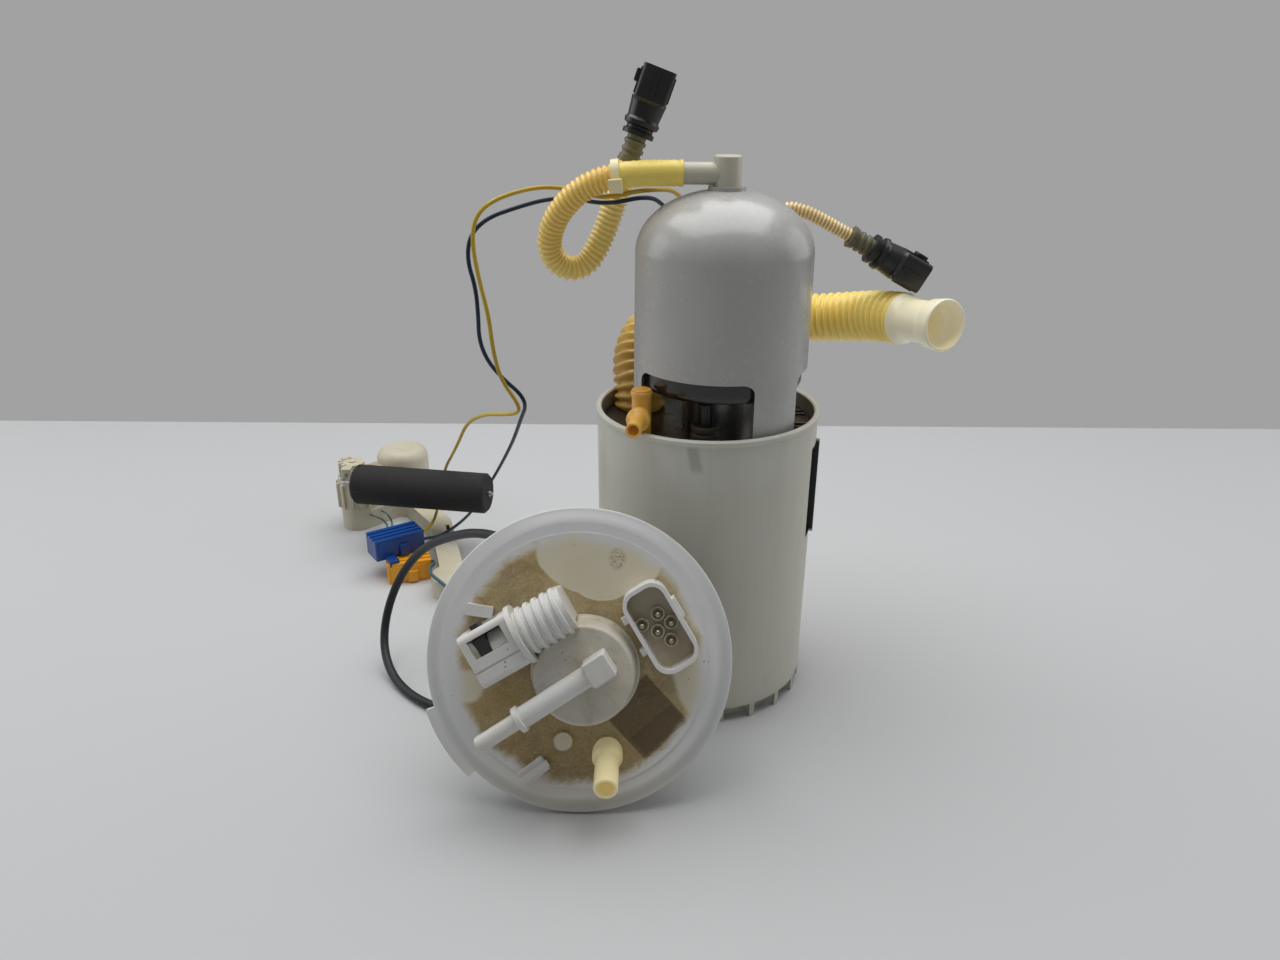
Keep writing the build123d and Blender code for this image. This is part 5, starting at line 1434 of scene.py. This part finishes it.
@dataclass
class LevelSender:
    """Level sender: carrier, card, rotor, arm and float."""

    pivot: Point = (-257.0, 190.0, 0.0)
    boss_radius: float = 12.0
    tooth_count: int = 12
    tooth_size: tuple[float, float] = (2.2, 3.0)
    tooth_low: float = 18.0
    tooth_high: float = 38.0
    tooth_root: float = 0.4
    tower: tuple[float, float] = (-227.0, 224.0)
    tower_reach: float = 20.5
    tower_from: float = 46.0
    tower_drop: float = 5.0

    def lowered(self, place: Vector) -> Vector:
        """Takes the carrier's tower down a little."""
        near = math.hypot(place.x - mm(self.tower[0]), place.y - mm(self.tower[1])) < mm(self.tower_reach)
        if near and place.z > mm(self.tower_from):
            return Vector((place.x, place.y, place.z - mm(self.tower_drop)))
        return place

    def teeth(self) -> None:
        """Adds the ring of teeth round the carrier's pivot boss."""
        form = bmesh.new()
        deep, wide = self.tooth_size
        size = (deep + self.tooth_root, wide, self.tooth_high - self.tooth_low)
        level = (self.tooth_low + self.tooth_high) / 2
        middle = (self.boss_radius + deep / 2 - self.tooth_root / 2, 0, level)
        for i in range(self.tooth_count):
            turn = Matrix.Rotation(2 * math.pi * i / self.tooth_count, 4, "Z")
            add_box(form, Matrix.Translation(mm(*self.pivot)) @ turn, middle, size)
        rounded(new_piece("sender_teeth", form, CREAM, MODULE), 0.4)

    def build(self) -> None:
        """Dresses the sender."""
        reshaped(softened("sender_body", CREAM, 0.5), self.lowered)
        self.teeth()
        SENDER_PARTS.build()


# ---------------------------------------------------------------- studio


@dataclass(frozen=True)
class Lamp:
    """Soft rectangular lamp aimed at the object: place and sides in metres, power in watts."""

    name: str
    place: Point
    sides: Span
    power: float
    target: Point = (-0.03, 0.02, 0.12)

    def build(self) -> None:
        """Hangs the lamp."""
        data = bpy.data.lights.new(self.name, "AREA")
        data.shape = "RECTANGLE"
        data.size, data.size_y = self.sides
        data.energy = self.power
        thing = bpy.data.objects.new(self.name, data)
        thing.location = self.place
        aim = Vector(self.target) - thing.location
        thing.rotation_euler = aim.to_track_quat("-Z", "Y").to_euler()
        bpy.context.scene.collection.objects.link(thing)


LAMPS = (
    Lamp("overhead", (-0.05, 0.2, 1.15), (1.4, 1.1), 14.0),
    Lamp("left_fill", (-1.1, 0.25, 0.5), (0.8, 0.8), 2.8),
    Lamp("right_fill", (1.1, 0.35, 0.5), (0.8, 0.8), 2.2),
)


@dataclass
class Studio:
    """Table, lamps, surroundings and camera."""

    eye: Point = (-36.1, -493.6, 328.6)
    pitch: float = 22.93
    roll: float = 0.38
    lens: float = 27.0
    sensor: float = 36.0
    table_end: float = 427.0
    table_half: float = 1.6
    room_tone: Colour = (0.95, 0.97, 1.0)
    room_level: float = 0.2
    wall_tone: Colour = (0.36, 0.36, 0.36)

    def table(self) -> None:
        """Table top that ends behind the object."""
        form = bmesh.new()
        bmesh.ops.create_grid(form, x_segments=2, y_segments=2, size=self.table_half)
        bmesh.ops.translate(form, verts=form.verts, vec=(0, mm(self.table_end) - self.table_half, 0))
        mesh = bpy.data.meshes.new("table")
        form.to_mesh(mesh)
        form.free()
        mesh.materials.append(Table().material())
        thing = bpy.data.objects.new("table", mesh)
        bpy.context.scene.collection.objects.link(thing)

    def surroundings(self) -> None:
        """Grey surroundings: a dim room that lights the object, and a wall that only the camera sees."""
        world = bpy.data.worlds.new("room")
        world.use_nodes = True
        nodes, links = world.node_tree.nodes, world.node_tree.links
        nodes.clear()
        kinds = ("ShaderNodeLightPath", "ShaderNodeMath", "ShaderNodeMixShader", "ShaderNodeOutputWorld")
        ray, seen, both, out = (nodes.new(kind) for kind in kinds)
        seen.operation = "MAXIMUM"
        links.new(ray.outputs["Is Camera Ray"], seen.inputs[0])
        links.new(ray.outputs["Is Transmission Ray"], seen.inputs[1])
        links.new(seen.outputs[0], both.inputs[0])
        for place, tone, level in ((1, self.room_tone, self.room_level), (2, self.wall_tone, 1.0)):
            light = nodes.new("ShaderNodeBackground")
            light.inputs["Color"].default_value = (*tone, 1.0)
            light.inputs["Strength"].default_value = level
            links.new(light.outputs[0], both.inputs[place])
        links.new(both.outputs[0], out.inputs["Surface"])
        bpy.context.scene.world = world

    def camera(self) -> None:
        """Camera in front of the object, looking down."""
        data = bpy.data.cameras.new("front_camera")
        data.lens = self.lens
        data.sensor_width = self.sensor
        thing = bpy.data.objects.new("front_camera", data)
        tilt = Matrix.Rotation(math.radians(90 - self.pitch), 4, "X")
        roll = Matrix.Rotation(math.radians(self.roll), 4, "Z")
        thing.matrix_world = Matrix.Translation(mm(*self.eye)) @ (tilt @ roll)
        bpy.context.scene.collection.objects.link(thing)
        bpy.context.scene.camera = thing

    def build(self) -> None:
        """Sets up the studio."""
        self.table()
        self.surroundings()
        for lamp in LAMPS:
            lamp.build()
        self.camera()
        bpy.context.scene.view_settings.view_transform = "Standard"


def main() -> None:
    """Builds every sub-assembly in order."""
    logging.basicConfig(level=logging.INFO, format="%(message)s")
    Studio().build()
    Reservoir().build()
    PumpCarrier().build()
    FILTER_HOUSING.build()
    DECK_FITTINGS.build()
    tie = softened("cable_tie", TIE, 0.2, TIE_CUT)
    supply = RibbedHose("supply_ribbed", SUPPLY_ROUTE, 6.4, 5.3, 2.6, plain=33.0, ripple=0.25)
    FuelLine("supply", supply, SUPPLY_AMBER, [tie]).build()
    back = RibbedHose("return_ribbed", RETURN_ROUTE, 3.7, 3.05, 2.0, steps=16)
    FuelLine("return", back, RETURN_AMBER).build()
    TransferLine().build()
    Wiring().build()
    TankFlange().build()
    LevelSender().build()


if __name__ == "__main__":
    main()
